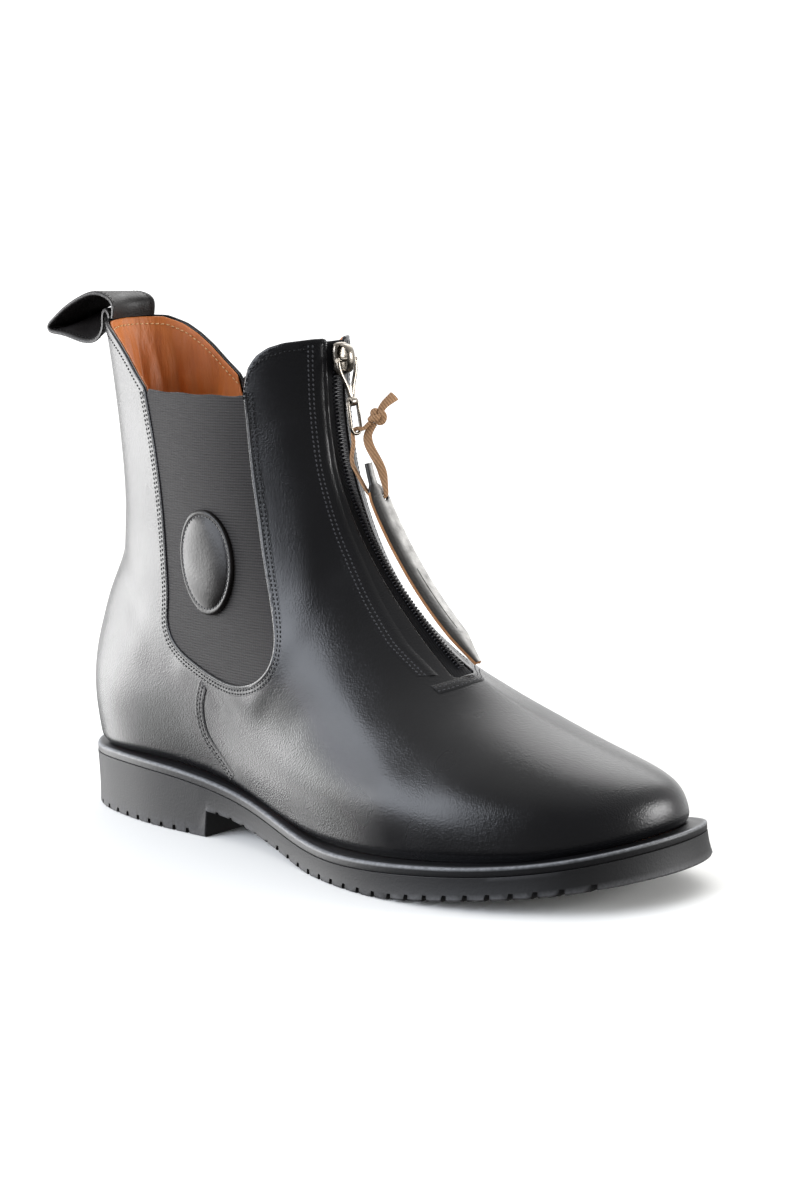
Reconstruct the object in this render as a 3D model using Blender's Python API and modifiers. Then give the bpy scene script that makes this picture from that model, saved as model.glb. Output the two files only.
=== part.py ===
# Right ankle boot with elastic side gores, a front zip and a moulded rubber sole.
# X runs forward to the toe, Y to the inner side of the foot, Z up; sizes below are in millimetres.
# The floor is Z = 0. The tables below measure X from the back of the heel; at the end everything is moved
# back so that the origin lies under the middle of the heel.

import math
from collections import namedtuple

import bmesh
import bpy
import numpy as np
from mathutils import Matrix, Vector

for old in list(bpy.data.objects):
    bpy.data.objects.remove(old)

MM = 0.001

# Driving sizes
SOLE_LENGTH = 296.0
ORIGIN_X = 46.0
HEEL_BREAST_X = 92.0
HEEL_BREAST_RUN = 1.6
WELT_THICK = 3.2
WELT_WIDTH = 9.0
SOLE_FLARE = 1.6
GAP = 0.3
WALL = 2.6
FEATHER_LIFT = 0.7
INSOLE_INSET = 4.4
INSOLE_THICK = 2.4
NOTCH_DEPTH = 2.4
NOTCH_WIDTH = 2.6
NOTCH_PITCH = 8.0
WAIST_NOTCH_DEPTH = 1.2
GORE_SET_BACK = 0.6
GORE_THICK = 1.4
BADGE_CENTRE_X = 101.4
BADGE_CENTRE_Z = 112.4
BADGE_HALF_LENGTH = 20.6
BADGE_HALF_WIDTH = 15.0
BADGE_TILT = 11.0
BADGE_THICK = 1.8
ZIP_SLOT_HALF = 4.6
ZIP_TAPE_HALF = 4.3
ZIP_CHAIN_HALF = 2.5
ZIP_END_Z = 73.0
SLIDER_Z = 190.0
PIN_LIFT = 3.65
PIN_RADIUS = 0.8
PULL_DROP = 16.0
PULL_LEAN = 8.0
RING_HEIGHT = 12.5
RING_HALF_WIDTH = 2.6
RING_WIRE = 0.65
CORD_RADIUS = 1.0
STRAP_THICK = 2.2
LOOP_HALF_WIDTH = 11.5
LOOP_THICK = 1.8
BACK_BOW = 0.0255

# Sole outline: share of the length, half-widths to the outer and the inner side of the foot
SoleStation = namedtuple("SoleStation", "share outer inner")
SOLE = [
    SoleStation(0.02, 13.5, 13.8),
    SoleStation(0.06, 23.4, 24.0),
    SoleStation(0.12, 29.4, 30.6),
    SoleStation(0.20, 33.2, 33.0),
    SoleStation(0.30, 33.8, 30.6),
    SoleStation(0.40, 35.0, 28.6),
    SoleStation(0.50, 42.0, 31.0),
    SoleStation(0.60, 50.4, 40.0),
    SoleStation(0.70, 53.2, 48.4),
    SoleStation(0.80, 49.0, 49.6),
    SoleStation(0.88, 39.8, 46.8),
    SoleStation(0.94, 28.6, 42.6),
    SoleStation(0.98, 12.0, 35.0),
]
SOLE_TIP_Y = 14.0

# Side profile of the sole: top of the welt and bottom of the rubber along the length
Profile = namedtuple("Profile", "x z")
SOLE_TOP = [
    Profile(0, 25.4), Profile(50, 26.8), Profile(85, 25.0), Profile(120, 19.3),
    Profile(155, 13.0), Profile(190, 12.4), Profile(225, 14.8), Profile(260, 18.0),
    Profile(296, 24.4),
]
WAIST_BOTTOM = [
    Profile(92, 10.8), Profile(104, 10.4), Profile(130, 5.4), Profile(158, 0.0),
    Profile(206, 0.0), Profile(232, 2.8), Profile(262, 6.2), Profile(296, 11.2),
]

# Upper: one row per section, from the feather line at the sole to above the collar.
# back and front give the ends of the section; sag is how much of the sole's own curve it follows;
# o05 to o95 are half-widths on the outer side at 5 % to 95 % of the section, i05 to i95 on the inner side.
Section = namedtuple(
    "Section",
    "v back_x back_z front_x front_y front_z sag o05 o15 o35 o55 o70 o85 o95 i05 i15 i35 i55 i70 i85 i95",
)
UPPER = [
    Section(
        0.00, 5.0, 26.0, 291.0, 13.0, 25.0, 1.0,
        21.5, 29.0, 31.0, 43.0, 48.6, 41.0, 24.0,
        22.0, 29.6, 26.6, 33.0, 44.0, 45.4, 39.0,
    ),
    Section(
        0.12, 3.2, 47.0, 286.5, 12.0, 39.8, 0.7,
        22.5, 31.0, 34.5, 44.5, 48.0, 38.6, 20.0,
        23.0, 31.0, 31.5, 38.5, 45.0, 43.6, 35.5,
    ),
    Section(
        0.25, 5.4, 68.0, 263.0, 9.0, 51.4, 0.4,
        21.0, 29.5, 35.0, 41.0, 41.5, 33.0, 17.5,
        21.5, 29.5, 34.0, 38.5, 41.5, 37.5, 26.0,
    ),
    Section(
        0.40, 14.4, 91.0, 227.0, 5.5, 64.0, 0.15,
        18.0, 26.8, 34.0, 37.5, 36.5, 27.5, 15.0,
        18.0, 26.8, 34.0, 37.5, 36.5, 28.5, 16.0,
    ),
    Section(
        0.55, 24.6, 114.0, 194.0, 0.5, 84.5, 0.0,
        16.3, 25.0, 32.4, 35.0, 32.6, 23.0, 12.0,
        16.3, 25.0, 32.4, 35.0, 31.0, 17.5, 5.4,
    ),
    Section(
        0.70, 28.4, 143.0, 163.5, 0.0, 116.5, 0.0,
        16.0, 23.8, 30.2, 32.6, 30.4, 21.6, 12.0,
        16.0, 23.8, 30.2, 32.6, 29.8, 18.8, 7.0,
    ),
    Section(
        0.85, 26.4, 174.0, 146.0, 0.0, 158.0, 0.0,
        15.6, 22.8, 28.2, 30.2, 28.6, 21.6, 12.6,
        15.6, 22.8, 28.2, 30.2, 28.4, 21.0, 11.4,
    ),
    Section(
        1.00, 21.2, 208.0, 145.5, 0.0, 205.0, 0.0,
        15.6, 22.4, 26.8, 28.4, 27.6, 21.8, 13.2,
        15.6, 22.4, 26.8, 28.4, 27.6, 21.8, 13.2,
    ),
]
SECTION_SHARES = (0.05, 0.15, 0.35, 0.55, 0.70, 0.85, 0.95)
UPPER_AROUND = 28
UPPER_UP = 21

# Collar seen from the side: the back rises to the pull loop, dips to the gore and rises at the front corner
COLLAR = [
    Profile(0, 204.4), Profile(22, 203.8), Profile(30, 203.0), Profile(38, 199.6),
    Profile(44, 195.6), Profile(50, 190.6), Profile(56, 184.6), Profile(63, 178.4),
    Profile(67, 177.6), Profile(115.4, 177.2), Profile(117.8, 178.4), Profile(118.4, 182.0),
    Profile(119.8, 187.6), Profile(123, 192.4), Profile(127.8, 195.6), Profile(133.4, 197.4),
    Profile(141.8, 198.4), Profile(190, 198.4),
]

# Side gore outline: rear edge down, round the bottom, front edge up
GORE = [
    Profile(52.0, 215.0), Profile(63.3, 177.9), Profile(67.7, 160.9), Profile(71.2, 143.5),
    Profile(73.6, 124.1), Profile(74.9, 106.2), Profile(75.2, 93.0), Profile(75.0, 85.0),
    Profile(78.0, 79.2), Profile(85.8, 74.2), Profile(98.0, 69.8), Profile(108.3, 67.2),
    Profile(118.5, 66.4), Profile(126.6, 67.9), Profile(134.0, 71.9), Profile(138.2, 77.6),
    Profile(139.0, 84.2), Profile(137.6, 90.8), Profile(133.6, 103.2), Profile(129.5, 115.4),
    Profile(125.8, 128.0), Profile(122.8, 139.6), Profile(120.2, 153.2), Profile(118.6, 167.8),
    Profile(117.9, 177.0), Profile(117.9, 215.0),
]


def natural_spline(knots, values, places):
    knots = np.asarray(knots, float)
    values = np.asarray(values, float)
    places = np.atleast_1d(np.asarray(places, float))
    count = len(knots)
    step = np.diff(knots)
    matrix = np.eye(count)
    right = np.zeros((count,) + values.shape[1:])
    slope = (np.diff(values, axis=0).T / step).T
    for i in range(1, count - 1):
        matrix[i, i - 1] = step[i - 1]
        matrix[i, i] = 2.0 * (step[i - 1] + step[i])
        matrix[i, i + 1] = step[i]
        right[i] = 6.0 * (slope[i] - slope[i - 1])
    bend = np.linalg.solve(matrix, right)
    k = np.clip(np.searchsorted(knots, places) - 1, 0, count - 2)
    shape = (-1,) + (1,) * (values.ndim - 1)
    h = step[k].reshape(shape)
    a = (knots[k + 1] - places).reshape(shape) / h
    b = (places - knots[k]).reshape(shape) / h
    curve = (a ** 3 - a) * bend[k] + (b ** 3 - b) * bend[k + 1]
    return a * values[k] + b * values[k + 1] + curve * h * h / 6.0


def profile_z(profile, x):
    inside = np.clip(x, profile[0].x, profile[-1].x)
    return natural_spline([p.x for p in profile], [p.z for p in profile], inside)


def waist_z(x):
    xs = [p.x for p in WAIST_BOTTOM]
    zs = [p.z for p in WAIST_BOTTOM]
    fine = np.linspace(xs[0], xs[-1], 200)
    rough = np.pad(np.interp(fine, xs, zs), 8, mode="edge")
    smooth = np.convolve(rough, np.ones(17) / 17.0, mode="valid")
    return np.interp(x, fine, np.where(smooth < 0.06, 0.0, smooth))


def station(share):
    return np.arccos(1.0 - 2.0 * np.asarray(share)) / math.pi


def half_line(shares, widths, end_y, t):
    knots = np.concatenate([[0.0], station(shares), [1.0]])
    values = np.concatenate([[0.0], widths, [end_y]])
    return natural_spline(knots, values, t)


# Upper surface: v runs from the sole to the collar, t from the back seam to the front ridge
def upper_row(v):
    table = np.array([list(row) for row in UPPER])
    return Section(*natural_spline(table[:, 0], table, [v])[0])


def upper_point(v, t, inner):
    row = upper_row(v)
    t = np.atleast_1d(t)
    share = (1.0 - np.cos(math.pi * t)) / 2.0
    x = row.back_x + (row.front_x - row.back_x) * share
    foot = UPPER[0]
    chord = foot.back_z + (foot.front_z - foot.back_z) * (x - foot.back_x) / (foot.front_x - foot.back_x)
    sag = row.sag * (profile_z(SOLE_TOP, x) + FEATHER_LIFT - chord)
    z = row.back_z + (row.front_z - row.back_z) * share + sag
    widths = np.array(row[14:21]) if inner else -np.array(row[7:14])
    return np.stack([x, half_line(SECTION_SHARES, widths, row.front_y, t), z], axis=-1)


def upper_ring(v, around):
    t = np.linspace(0.0, 1.0, around + 1)
    outer = upper_point(v, t, False)
    inner = upper_point(v, t, True)
    return np.concatenate([outer, inner[-2:0:-1]])


def ridge_x(z):
    rows = [upper_point(v, 1.0, False)[0] for v in np.linspace(0.3, 1.0, 60)]
    heights = [p[2] for p in rows]
    return float(np.interp(z, heights, [p[0] for p in rows]))


# Helpers that make objects
parts = bpy.data.collections.new("ankle_boot")
cutters = bpy.data.collections.new("cutters")
bpy.context.scene.collection.children.link(parts)
bpy.context.scene.collection.children.link(cutters)
cutters.hide_render = True


def material(name, colour, roughness, metallic=0.0):
    made = bpy.data.materials.new(name)
    made.use_nodes = True
    shader = made.node_tree.nodes["Principled BSDF"]
    shader.inputs["Base Color"].default_value = (*colour, 1.0)
    shader.inputs["Roughness"].default_value = roughness
    shader.inputs["Metallic"].default_value = metallic
    return made


BLACK_LEATHER = material("black_leather", (0.012, 0.012, 0.013), 0.35)
BLACK_RUBBER = material("black_rubber", (0.02, 0.02, 0.021), 0.7)
WELT_RUBBER = material("welt_rubber", (0.02, 0.02, 0.021), 0.6)
TAN_LEATHER = material("tan_leather", (0.45, 0.2, 0.07), 0.6)
GORE_ELASTIC = material("gore_elastic", (0.03, 0.027, 0.025), 0.85)
BADGE_LEATHER = material("badge_leather", (0.012, 0.012, 0.013), 0.3)
ZIP_CLOTH = material("zip_cloth", (0.01, 0.01, 0.01), 0.9)
ZIP_TEETH = material("zip_teeth", (0.02, 0.02, 0.02), 0.4)
NICKEL = material("nickel", (0.6, 0.58, 0.55), 0.3, 1.0)
CORD_COTTON = material("cord_cotton", (0.35, 0.22, 0.11), 0.8)
STRAP_LEATHER = material("strap_leather", (0.03, 0.028, 0.027), 0.5)
LOOP_LEATHER = material("loop_leather", (0.012, 0.012, 0.013), 0.35)


def add(name, mesh, collection, look=None):
    made = bpy.data.objects.new(name, mesh)
    collection.objects.link(made)
    if look:
        mesh.materials.append(look)
    if collection is cutters:
        made.display_type = "WIRE"
        made.hide_render = True
    return made


def mesh_of(name, points, faces):
    mesh = bpy.data.meshes.new(name)
    mesh.from_pydata([tuple(float(c) * MM for c in p) for p in points], [], faces)
    work = bmesh.new()
    work.from_mesh(mesh)
    bmesh.ops.recalc_face_normals(work, faces=work.faces)
    work.to_mesh(mesh)
    work.free()
    return mesh


def ring_faces(rings, count):
    faces = []
    for r in range(rings - 1):
        for k in range(count):
            n = (k + 1) % count
            faces.append((r * count + k, r * count + n, (r + 1) * count + n, (r + 1) * count + k))
    return faces


def ladder(first, half):
    # Closes a ring whose outer and inner halves run side by side from the back to the front
    count = 2 * half
    faces = [(first, first + 1, first + count - 1)]
    for k in range(1, half - 1):
        faces.append((first + k, first + k + 1, first + count - k - 1, first + count - k))
    faces.append((first + half - 1, first + half, first + half + 1))
    return faces


def apply_boolean(target, tool, operation):
    step = target.modifiers.new("cut", "BOOLEAN")
    step.operation = operation
    step.solver = "EXACT"
    step.object = tool
    return step


def prism(name, outline, y0, y1):
    count = len(outline)
    points = [(p[0], y0, p[1]) for p in outline] + [(p[0], y1, p[1]) for p in outline]
    faces = [tuple(range(count)), tuple(range(2 * count - 1, count - 1, -1))]
    for k in range(count):
        n = (k + 1) % count
        faces.append((k, n, n + count, k + count))
    return add(name, mesh_of(name, points, faces), cutters)


def inset(outline, distance):
    pts = np.array([(p[0], p[1]) for p in outline], float)
    before = pts - np.roll(pts, 1, axis=0)
    after = np.roll(pts, -1, axis=0) - pts
    before /= np.linalg.norm(before, axis=1)[:, None]
    after /= np.linalg.norm(after, axis=1)[:, None]
    nb = np.stack([-before[:, 1], before[:, 0]], axis=1)
    na = np.stack([-after[:, 1], after[:, 0]], axis=1)
    mid = nb + na
    mid /= np.linalg.norm(mid, axis=1)[:, None]
    area = 0.5 * np.sum(pts[:, 0] * np.roll(pts[:, 1], -1) - np.roll(pts[:, 0], -1) * pts[:, 1])
    grow = np.minimum(1.0 / np.maximum((mid * nb).sum(axis=1), 0.4), 2.0)
    return pts + mid * (distance * math.copysign(1.0, area) * grow)[:, None]


# Rubber sole: rings around the outline, closed below and above like a ladder
def sole_stations():
    plain = np.linspace(0.0, 1.0, 39)
    breast = station(np.array([HEEL_BREAST_X, HEEL_BREAST_X + HEEL_BREAST_RUN]) / SOLE_LENGTH)
    keep = plain[np.abs(plain[:, None] - breast[None, :]).min(axis=1) > 0.008]
    return np.sort(np.concatenate([keep, breast]))


def sole_outline(t):
    shares = [s.share for s in SOLE]
    outer = half_line(shares, -np.array([s.outer for s in SOLE]), SOLE_TIP_Y, t)
    inner = half_line(shares, np.array([s.inner for s in SOLE]), SOLE_TIP_Y, t)
    x = SOLE_LENGTH * (1.0 - np.cos(math.pi * t)) / 2.0
    first = np.stack([x, outer], axis=1)
    second = np.stack([x, inner], axis=1)
    return np.concatenate([first, second[-2:0:-1]])


SOLE_T = sole_stations()
SOLE_HALF = len(SOLE_T) - 1
SOLE_LOOP = sole_outline(SOLE_T)


def sole_ring(inward, lift, profile):
    flat = inset(SOLE_LOOP, inward)
    if profile == "bottom":
        heel = SOLE_LOOP[:, 0] <= HEEL_BREAST_X + 0.01
        z = np.where(heel, 0.0, waist_z(SOLE_LOOP[:, 0]))
    else:
        z = profile_z(SOLE_TOP, flat[:, 0])
    return np.column_stack([flat, z + lift])


def flare():
    return -SOLE_FLARE * np.clip((SOLE_LOOP[:, 0] - 150.0) / 120.0, 0.0, 1.0)


def flared_ring(extra, lift, profile):
    ring = sole_ring(0.0, lift, profile)
    ring[:, :2] = inset(SOLE_LOOP, extra)
    ring[:, :2] += inset(SOLE_LOOP, 1.0) * flare()[:, None] - SOLE_LOOP * flare()[:, None]
    return ring


outsole_rings = [
    flared_ring(0.9, 0.0, "bottom"),
    flared_ring(0.0, 0.9, "bottom"),
    sole_ring(0.0, -WELT_THICK - GAP, "top"),
    sole_ring(WELT_WIDTH + GAP, -WELT_THICK - GAP, "top"),
    sole_ring(WELT_WIDTH + GAP, 0.0, "top"),
]
count = len(SOLE_LOOP)
faces = ring_faces(len(outsole_rings), count)
faces += ladder(0, SOLE_HALF)
faces += ladder((len(outsole_rings) - 1) * count, SOLE_HALF)
outsole = add("outsole", mesh_of("outsole", np.concatenate(outsole_rings), faces), parts, BLACK_RUBBER)


# Tread: notches right across the heel and forefoot, shallower ones under the waist
def tread():
    points = []
    boxes = []
    rows = [(x, NOTCH_DEPTH) for x in np.arange(10.0, HEEL_BREAST_X - 4.0, NOTCH_PITCH)]
    rows += [(x, WAIST_NOTCH_DEPTH) for x in np.arange(HEEL_BREAST_X + 8.0, 136.0, NOTCH_PITCH)]
    rows += [(x, NOTCH_DEPTH) for x in np.arange(140.0, 286.0, NOTCH_PITCH)]
    for x, deep in rows:
        low = 0.0 if x < HEEL_BREAST_X else float(waist_z(x))
        half = NOTCH_WIDTH / 2.0
        first = len(points)
        for y in (-80.0, 80.0):
            points += [(x - half * 1.3, y, low - 5.0), (x + half * 1.3, y, low - 5.0)]
            points += [(x + half * 0.6, y, low + deep), (x - half * 0.6, y, low + deep)]
        a = first
        boxes += [(a, a + 1, a + 2, a + 3), (a + 7, a + 6, a + 5, a + 4), (a, a + 4, a + 5, a + 1)]
        boxes += [(a + 1, a + 5, a + 6, a + 2), (a + 2, a + 6, a + 7, a + 3), (a + 3, a + 7, a + 4, a)]
    return add("tread_cutter", mesh_of("tread_cutter", points, boxes), cutters)


apply_boolean(outsole, tread(), "DIFFERENCE")

# Welt: the strip round the top of the sole that the upper stands on
welt_rings = [
    sole_ring(0.5, -WELT_THICK, "top"),
    sole_ring(0.2, -0.6, "top"),
    sole_ring(0.8, 0.0, "top"),
    sole_ring(WELT_WIDTH, 0.0, "top"),
    sole_ring(WELT_WIDTH, -WELT_THICK, "top"),
]
faces = ring_faces(len(welt_rings), count)
last = (len(welt_rings) - 1) * count
faces += [(last + k, last + (k + 1) % count, (k + 1) % count, k) for k in range(count)]
welt = add("welt", mesh_of("welt", np.concatenate(welt_rings), faces), parts, WELT_RUBBER)

# Insole: lies on the sole inside the foot of the upper
foot_ring = upper_ring(0.0, UPPER_AROUND)
foot_flat = inset(foot_ring[:, :2], WALL + INSOLE_INSET - 1.2)
foot_low = np.column_stack([foot_flat, profile_z(SOLE_TOP, foot_flat[:, 0]) + GAP])
foot_high = foot_low + np.array([0.0, 0.0, INSOLE_THICK])
foot_count = len(foot_ring)
faces = ring_faces(2, foot_count)
faces += ladder(0, UPPER_AROUND) + ladder(foot_count, UPPER_AROUND)
insole = add("insole", mesh_of("insole", np.concatenate([foot_low, foot_high]), faces), parts, TAN_LEATHER)


# Upper wall and the thinner forms cut from the same surface
def shell(name, outside, thick, collection, look=None):
    levels = np.linspace(0.0, 1.0, UPPER_UP)
    points = np.concatenate([upper_ring(v, UPPER_AROUND) for v in levels])
    mesh = mesh_of(name, points, ring_faces(UPPER_UP, 2 * UPPER_AROUND))
    work = bmesh.new()
    work.from_mesh(mesh)
    work.normal_update()
    centre = Vector((0.09, 0.0, 0.1))
    probe = min(work.faces, key=lambda f: abs(f.calc_center_median().z - 0.15))
    if probe.normal.dot(probe.calc_center_median() - centre) < 0.0:
        bmesh.ops.reverse_faces(work, faces=work.faces)
        work.normal_update()
    moves = [v.normal * (outside * MM) for v in work.verts]
    for v, move in zip(work.verts, moves):
        v.co += move
    work.to_mesh(mesh)
    work.free()
    made = add(name, mesh, collection, look)
    wall = made.modifiers.new("wall", "SOLIDIFY")
    wall.thickness = thick * MM
    wall.offset = -1.0
    wall.use_even_offset = True
    wall.use_quality_normals = True
    return made


upper = shell("upper", 0.0, WALL, parts, BLACK_LEATHER)

collar_line = [(p.x, p.z) for p in COLLAR]
collar_edge = [(-60.0, 204.4)] + collar_line + [(230.0, 198.4), (230.0, 260.0), (-60.0, 260.0)]
collar_cutter = prism("collar_cutter", collar_edge, -90.0, 90.0)
gore_line = [(p.x, p.z) for p in GORE]
gore_cutter_outer = prism("gore_cutter_outer", gore_line, -90.0, -10.0)
gore_cutter_inner = prism("gore_cutter_inner", gore_line, 10.0, 90.0)


def zip_line(low, high, spread):
    heights = np.linspace(low, high, 15)
    front = [(ridge_x(z), z) for z in heights]
    pts = np.array(front)
    run = np.gradient(pts, axis=0)
    run /= np.linalg.norm(run, axis=1)[:, None]
    out = np.stack([run[:, 1], -run[:, 0]], axis=1)
    return [tuple(p) for p in pts + out * spread] + [tuple(p) for p in (pts - out * spread)[::-1]]


slot_cutter = prism("slot_cutter", zip_line(ZIP_END_Z, 204.0, 10.0), -ZIP_SLOT_HALF, ZIP_SLOT_HALF)
apply_boolean(upper, collar_cutter, "DIFFERENCE")
apply_boolean(upper, gore_cutter_outer, "DIFFERENCE")
apply_boolean(upper, gore_cutter_inner, "DIFFERENCE")
apply_boolean(upper, slot_cutter, "DIFFERENCE")

# Elastic gores: thinner panels set back inside the cut-outs
gore_inset = [tuple(p) for p in inset(gore_line, GAP)]
for side, y0, y1 in (("outer", -90.0, -10.0), ("inner", 10.0, 90.0)):
    gore = shell("gore_" + side, -GORE_SET_BACK, GORE_THICK, parts, GORE_ELASTIC)
    apply_boolean(gore, prism("gore_form_" + side, gore_inset, y0, y1), "INTERSECT")
    apply_boolean(gore, collar_cutter, "DIFFERENCE")

# Oval badge sewn on the outer gore, left bare
oval = []
for k in range(28):
    a = 2.0 * math.pi * k / 28.0
    along = BADGE_HALF_LENGTH * math.cos(a)
    across = BADGE_HALF_WIDTH * math.sin(a)
    lean = math.radians(BADGE_TILT)
    oval.append((
        BADGE_CENTRE_X + across * math.cos(lean) - along * math.sin(lean),
        BADGE_CENTRE_Z + along * math.cos(lean) + across * math.sin(lean),
    ))
badge = shell("badge", BADGE_THICK - GORE_SET_BACK + GAP, BADGE_THICK, parts, BADGE_LEATHER)
apply_boolean(badge, prism("badge_form", oval, -90.0, -10.0), "INTERSECT")

# Zip: woven tape under the slot edges and the closed chain of teeth along its middle
zip_tape = shell("zip_tape", -0.9, 1.1, parts, ZIP_CLOTH)
tape_form = prism("tape_form", zip_line(ZIP_END_Z + GAP, 197.6, 8.0), -ZIP_TAPE_HALF, ZIP_TAPE_HALF)
apply_boolean(zip_tape, tape_form, "INTERSECT")
zip_chain = shell("zip_chain", 0.6, 1.2, parts, ZIP_TEETH)
chain_form = prism("chain_form", zip_line(ZIP_END_Z + 1.0, 196.0, 8.0), -ZIP_CHAIN_HALF, ZIP_CHAIN_HALF)
apply_boolean(zip_chain, chain_form, "INTERSECT")


def box(work, low, high):
    made = bmesh.ops.create_cube(work, size=1.0)["verts"]
    for v in made:
        v.co = Vector([(low[i] + high[i]) / 2.0 * MM + v.co[i] * (high[i] - low[i]) * MM for i in range(3)])
    return made


def solid(name, boxes, collection, look):
    mesh = bpy.data.meshes.new(name)
    work = bmesh.new()
    for low, high in boxes:
        box(work, low, high)
    work.to_mesh(mesh)
    work.free()
    return add(name, mesh, collection, look)


def soften(target, width, segments=2):
    edge = target.modifiers.new("edges", "BEVEL")
    edge.width = width * MM
    edge.segments = segments
    edge.limit_method = "ANGLE"
    edge.angle_limit = math.radians(40.0)
    return edge


# Slider: a plate over the chain with a bridge that holds the pull
SLIDER_X = ridge_x(SLIDER_Z) + 1.0
plate = ((SLIDER_X, -4.6, SLIDER_Z - 6.0), (SLIDER_X + 2.2, 4.6, SLIDER_Z + 6.5))
slider = solid("zip_slider", [plate], parts, NICKEL)
bridge_boxes = [
    ((SLIDER_X + 1.0, -1.7, SLIDER_Z + 3.2), (SLIDER_X + 6.2, 1.7, SLIDER_Z + 5.4)),
    ((SLIDER_X + 1.0, -1.7, SLIDER_Z - 4.6), (SLIDER_X + 6.2, 1.7, SLIDER_Z - 2.6)),
    ((SLIDER_X + 4.8, -1.7, SLIDER_Z - 4.0), (SLIDER_X + 6.2, 1.7, SLIDER_Z + 5.0)),
]
for index, (low, high) in enumerate(bridge_boxes):
    post = solid("slider_form_%d" % index, [(low, high)], cutters, None)
    apply_boolean(slider, post, "UNION")
soften(slider, 0.45)

# Pull: a pin under the bridge, two arms that run together and a knuckle for the ring
PIN_X = SLIDER_X + PIN_LIFT
PIN_Z = SLIDER_Z
KNUCKLE_Z = PIN_Z - PULL_DROP
LEAN = math.radians(PULL_LEAN)


def hang(outward, y, drop):
    # A place on the hanging pull, measured from the pin and leaning a little off the boot
    x = PIN_X + outward * math.cos(LEAN) + drop * math.sin(LEAN)
    return (x, y, PIN_Z + outward * math.sin(LEAN) - drop * math.cos(LEAN))


def rod(name, start, end, radius, collection, look=None, sides=16):
    mesh = bpy.data.meshes.new(name)
    work = bmesh.new()
    a = Vector(start) * MM
    b = Vector(end) * MM
    turn = (b - a).to_track_quat("Z", "Y").to_matrix().to_4x4()
    place = Matrix.Translation((a + b) / 2.0) @ turn
    wide = radius * MM
    bmesh.ops.create_cone(
        work, cap_ends=True, segments=sides, radius1=wide, radius2=wide, depth=(b - a).length, matrix=place
    )
    work.to_mesh(mesh)
    work.free()
    return add(name, mesh, collection, look)


def at_pin(target):
    target.data.transform(Matrix.Translation((-PIN_X * MM, 0.0, -PIN_Z * MM)))
    target.data.transform(Matrix.Rotation(-LEAN, 4, "Y"))
    target.location = (PIN_X * MM, 0.0, PIN_Z * MM)
    return target


zip_pull = rod("zip_pull", (PIN_X, -5.4, PIN_Z), (PIN_X, 5.4, PIN_Z), PIN_RADIUS, parts, NICKEL)
pull_forms = []
for sign in (-1.0, 1.0):
    arm = [(-0.7, 3.6, 0.65), (-0.7, 5.1, 0.65), (-0.7, 2.5, -9.6), (-0.7, 0.6, -9.6)]
    points = [(PIN_X + x, sign * y, PIN_Z + z) for x, y, z in arm]
    points += [(PIN_X - x, sign * y, PIN_Z + z) for x, y, z in arm]
    arm_faces = [(0, 1, 2, 3), (7, 6, 5, 4), (0, 4, 5, 1), (1, 5, 6, 2), (2, 6, 7, 3), (3, 7, 4, 0)]
    pull_forms.append(add("arm_form_%d" % (sign > 0), mesh_of("arm_form", points, arm_faces), cutters))
pull_forms.append(solid(
    "stem_form", [((PIN_X - 0.62, -2.3, KNUCKLE_Z + 1.5), (PIN_X + 0.62, 2.3, PIN_Z - 8.4))], cutters, None
))
pull_forms.append(rod("knuckle_form", (PIN_X, -1.5, KNUCKLE_Z), (PIN_X, 1.5, KNUCKLE_Z), 1.9, cutters))
for form in pull_forms:
    apply_boolean(zip_pull, at_pin(form), "UNION")
bore = rod("knuckle_bore", (PIN_X, -6.0, KNUCKLE_Z), (PIN_X, 6.0, KNUCKLE_Z), RING_WIRE + GAP, cutters)
apply_boolean(zip_pull, at_pin(bore), "DIFFERENCE")
at_pin(zip_pull)


# Cords and wires: poly curves with a round section
def tube(name, path, radius, look, closed=False, sides=3):
    curve = bpy.data.curves.new(name, "CURVE")
    curve.dimensions = "3D"
    curve.bevel_depth = radius * MM
    curve.bevel_resolution = sides
    curve.use_fill_caps = True
    line = curve.splines.new("POLY")
    line.points.add(len(path) - 1)
    for point, place in zip(line.points, path):
        point.co = (place[0] * MM, place[1] * MM, place[2] * MM, 1.0)
    line.use_cyclic_u = closed
    made = bpy.data.objects.new(name, curve)
    curve.materials.append(look)
    parts.objects.link(made)
    return made


def smooth_path(points, count):
    pts = np.array(points, float)
    run = np.concatenate([[0.0], np.cumsum(np.linalg.norm(np.diff(pts, axis=0), axis=1))])
    return natural_spline(run, pts, np.linspace(0.0, run[-1], count))


# Ring: an upright oval of wire whose top bar turns in the knuckle
RING_DROP = PULL_DROP + RING_HEIGHT
ring_path = []
corner = RING_HALF_WIDTH
for k in range(7):
    a = math.pi * k / 6.0
    ring_path.append(hang(0.0, corner * math.cos(a), RING_DROP - corner + corner * math.sin(a)))
bend = 0.9
for sign in (-1.0, 1.0):
    turn = [0.0, 0.5, 1.0] if sign < 0 else [1.0, 0.5, 0.0]
    for k in turn:
        a = 0.5 * math.pi * k
        across = sign * (corner - bend + bend * math.cos(a))
        ring_path.append(hang(0.0, across, PULL_DROP + bend - bend * math.sin(a)))
zip_ring = tube("zip_ring", ring_path, RING_WIRE, NICKEL, closed=True)
knuckle = Vector(hang(0.0, 0.0, PULL_DROP)) * MM
zip_ring.data.transform(Matrix.Translation(-knuckle))
zip_ring.location = knuckle


# Pull strap: a flat leather tail that hangs from the cord, along the zip and clear of it
def front_line(z, stand_off):
    step = 1.0
    x = ridge_x(z)
    slope = (ridge_x(z + step) - ridge_x(z - step)) / (2.0 * step)
    length = math.hypot(1.0, slope)
    return np.array([x + stand_off / length, z - slope * stand_off / length])


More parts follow.
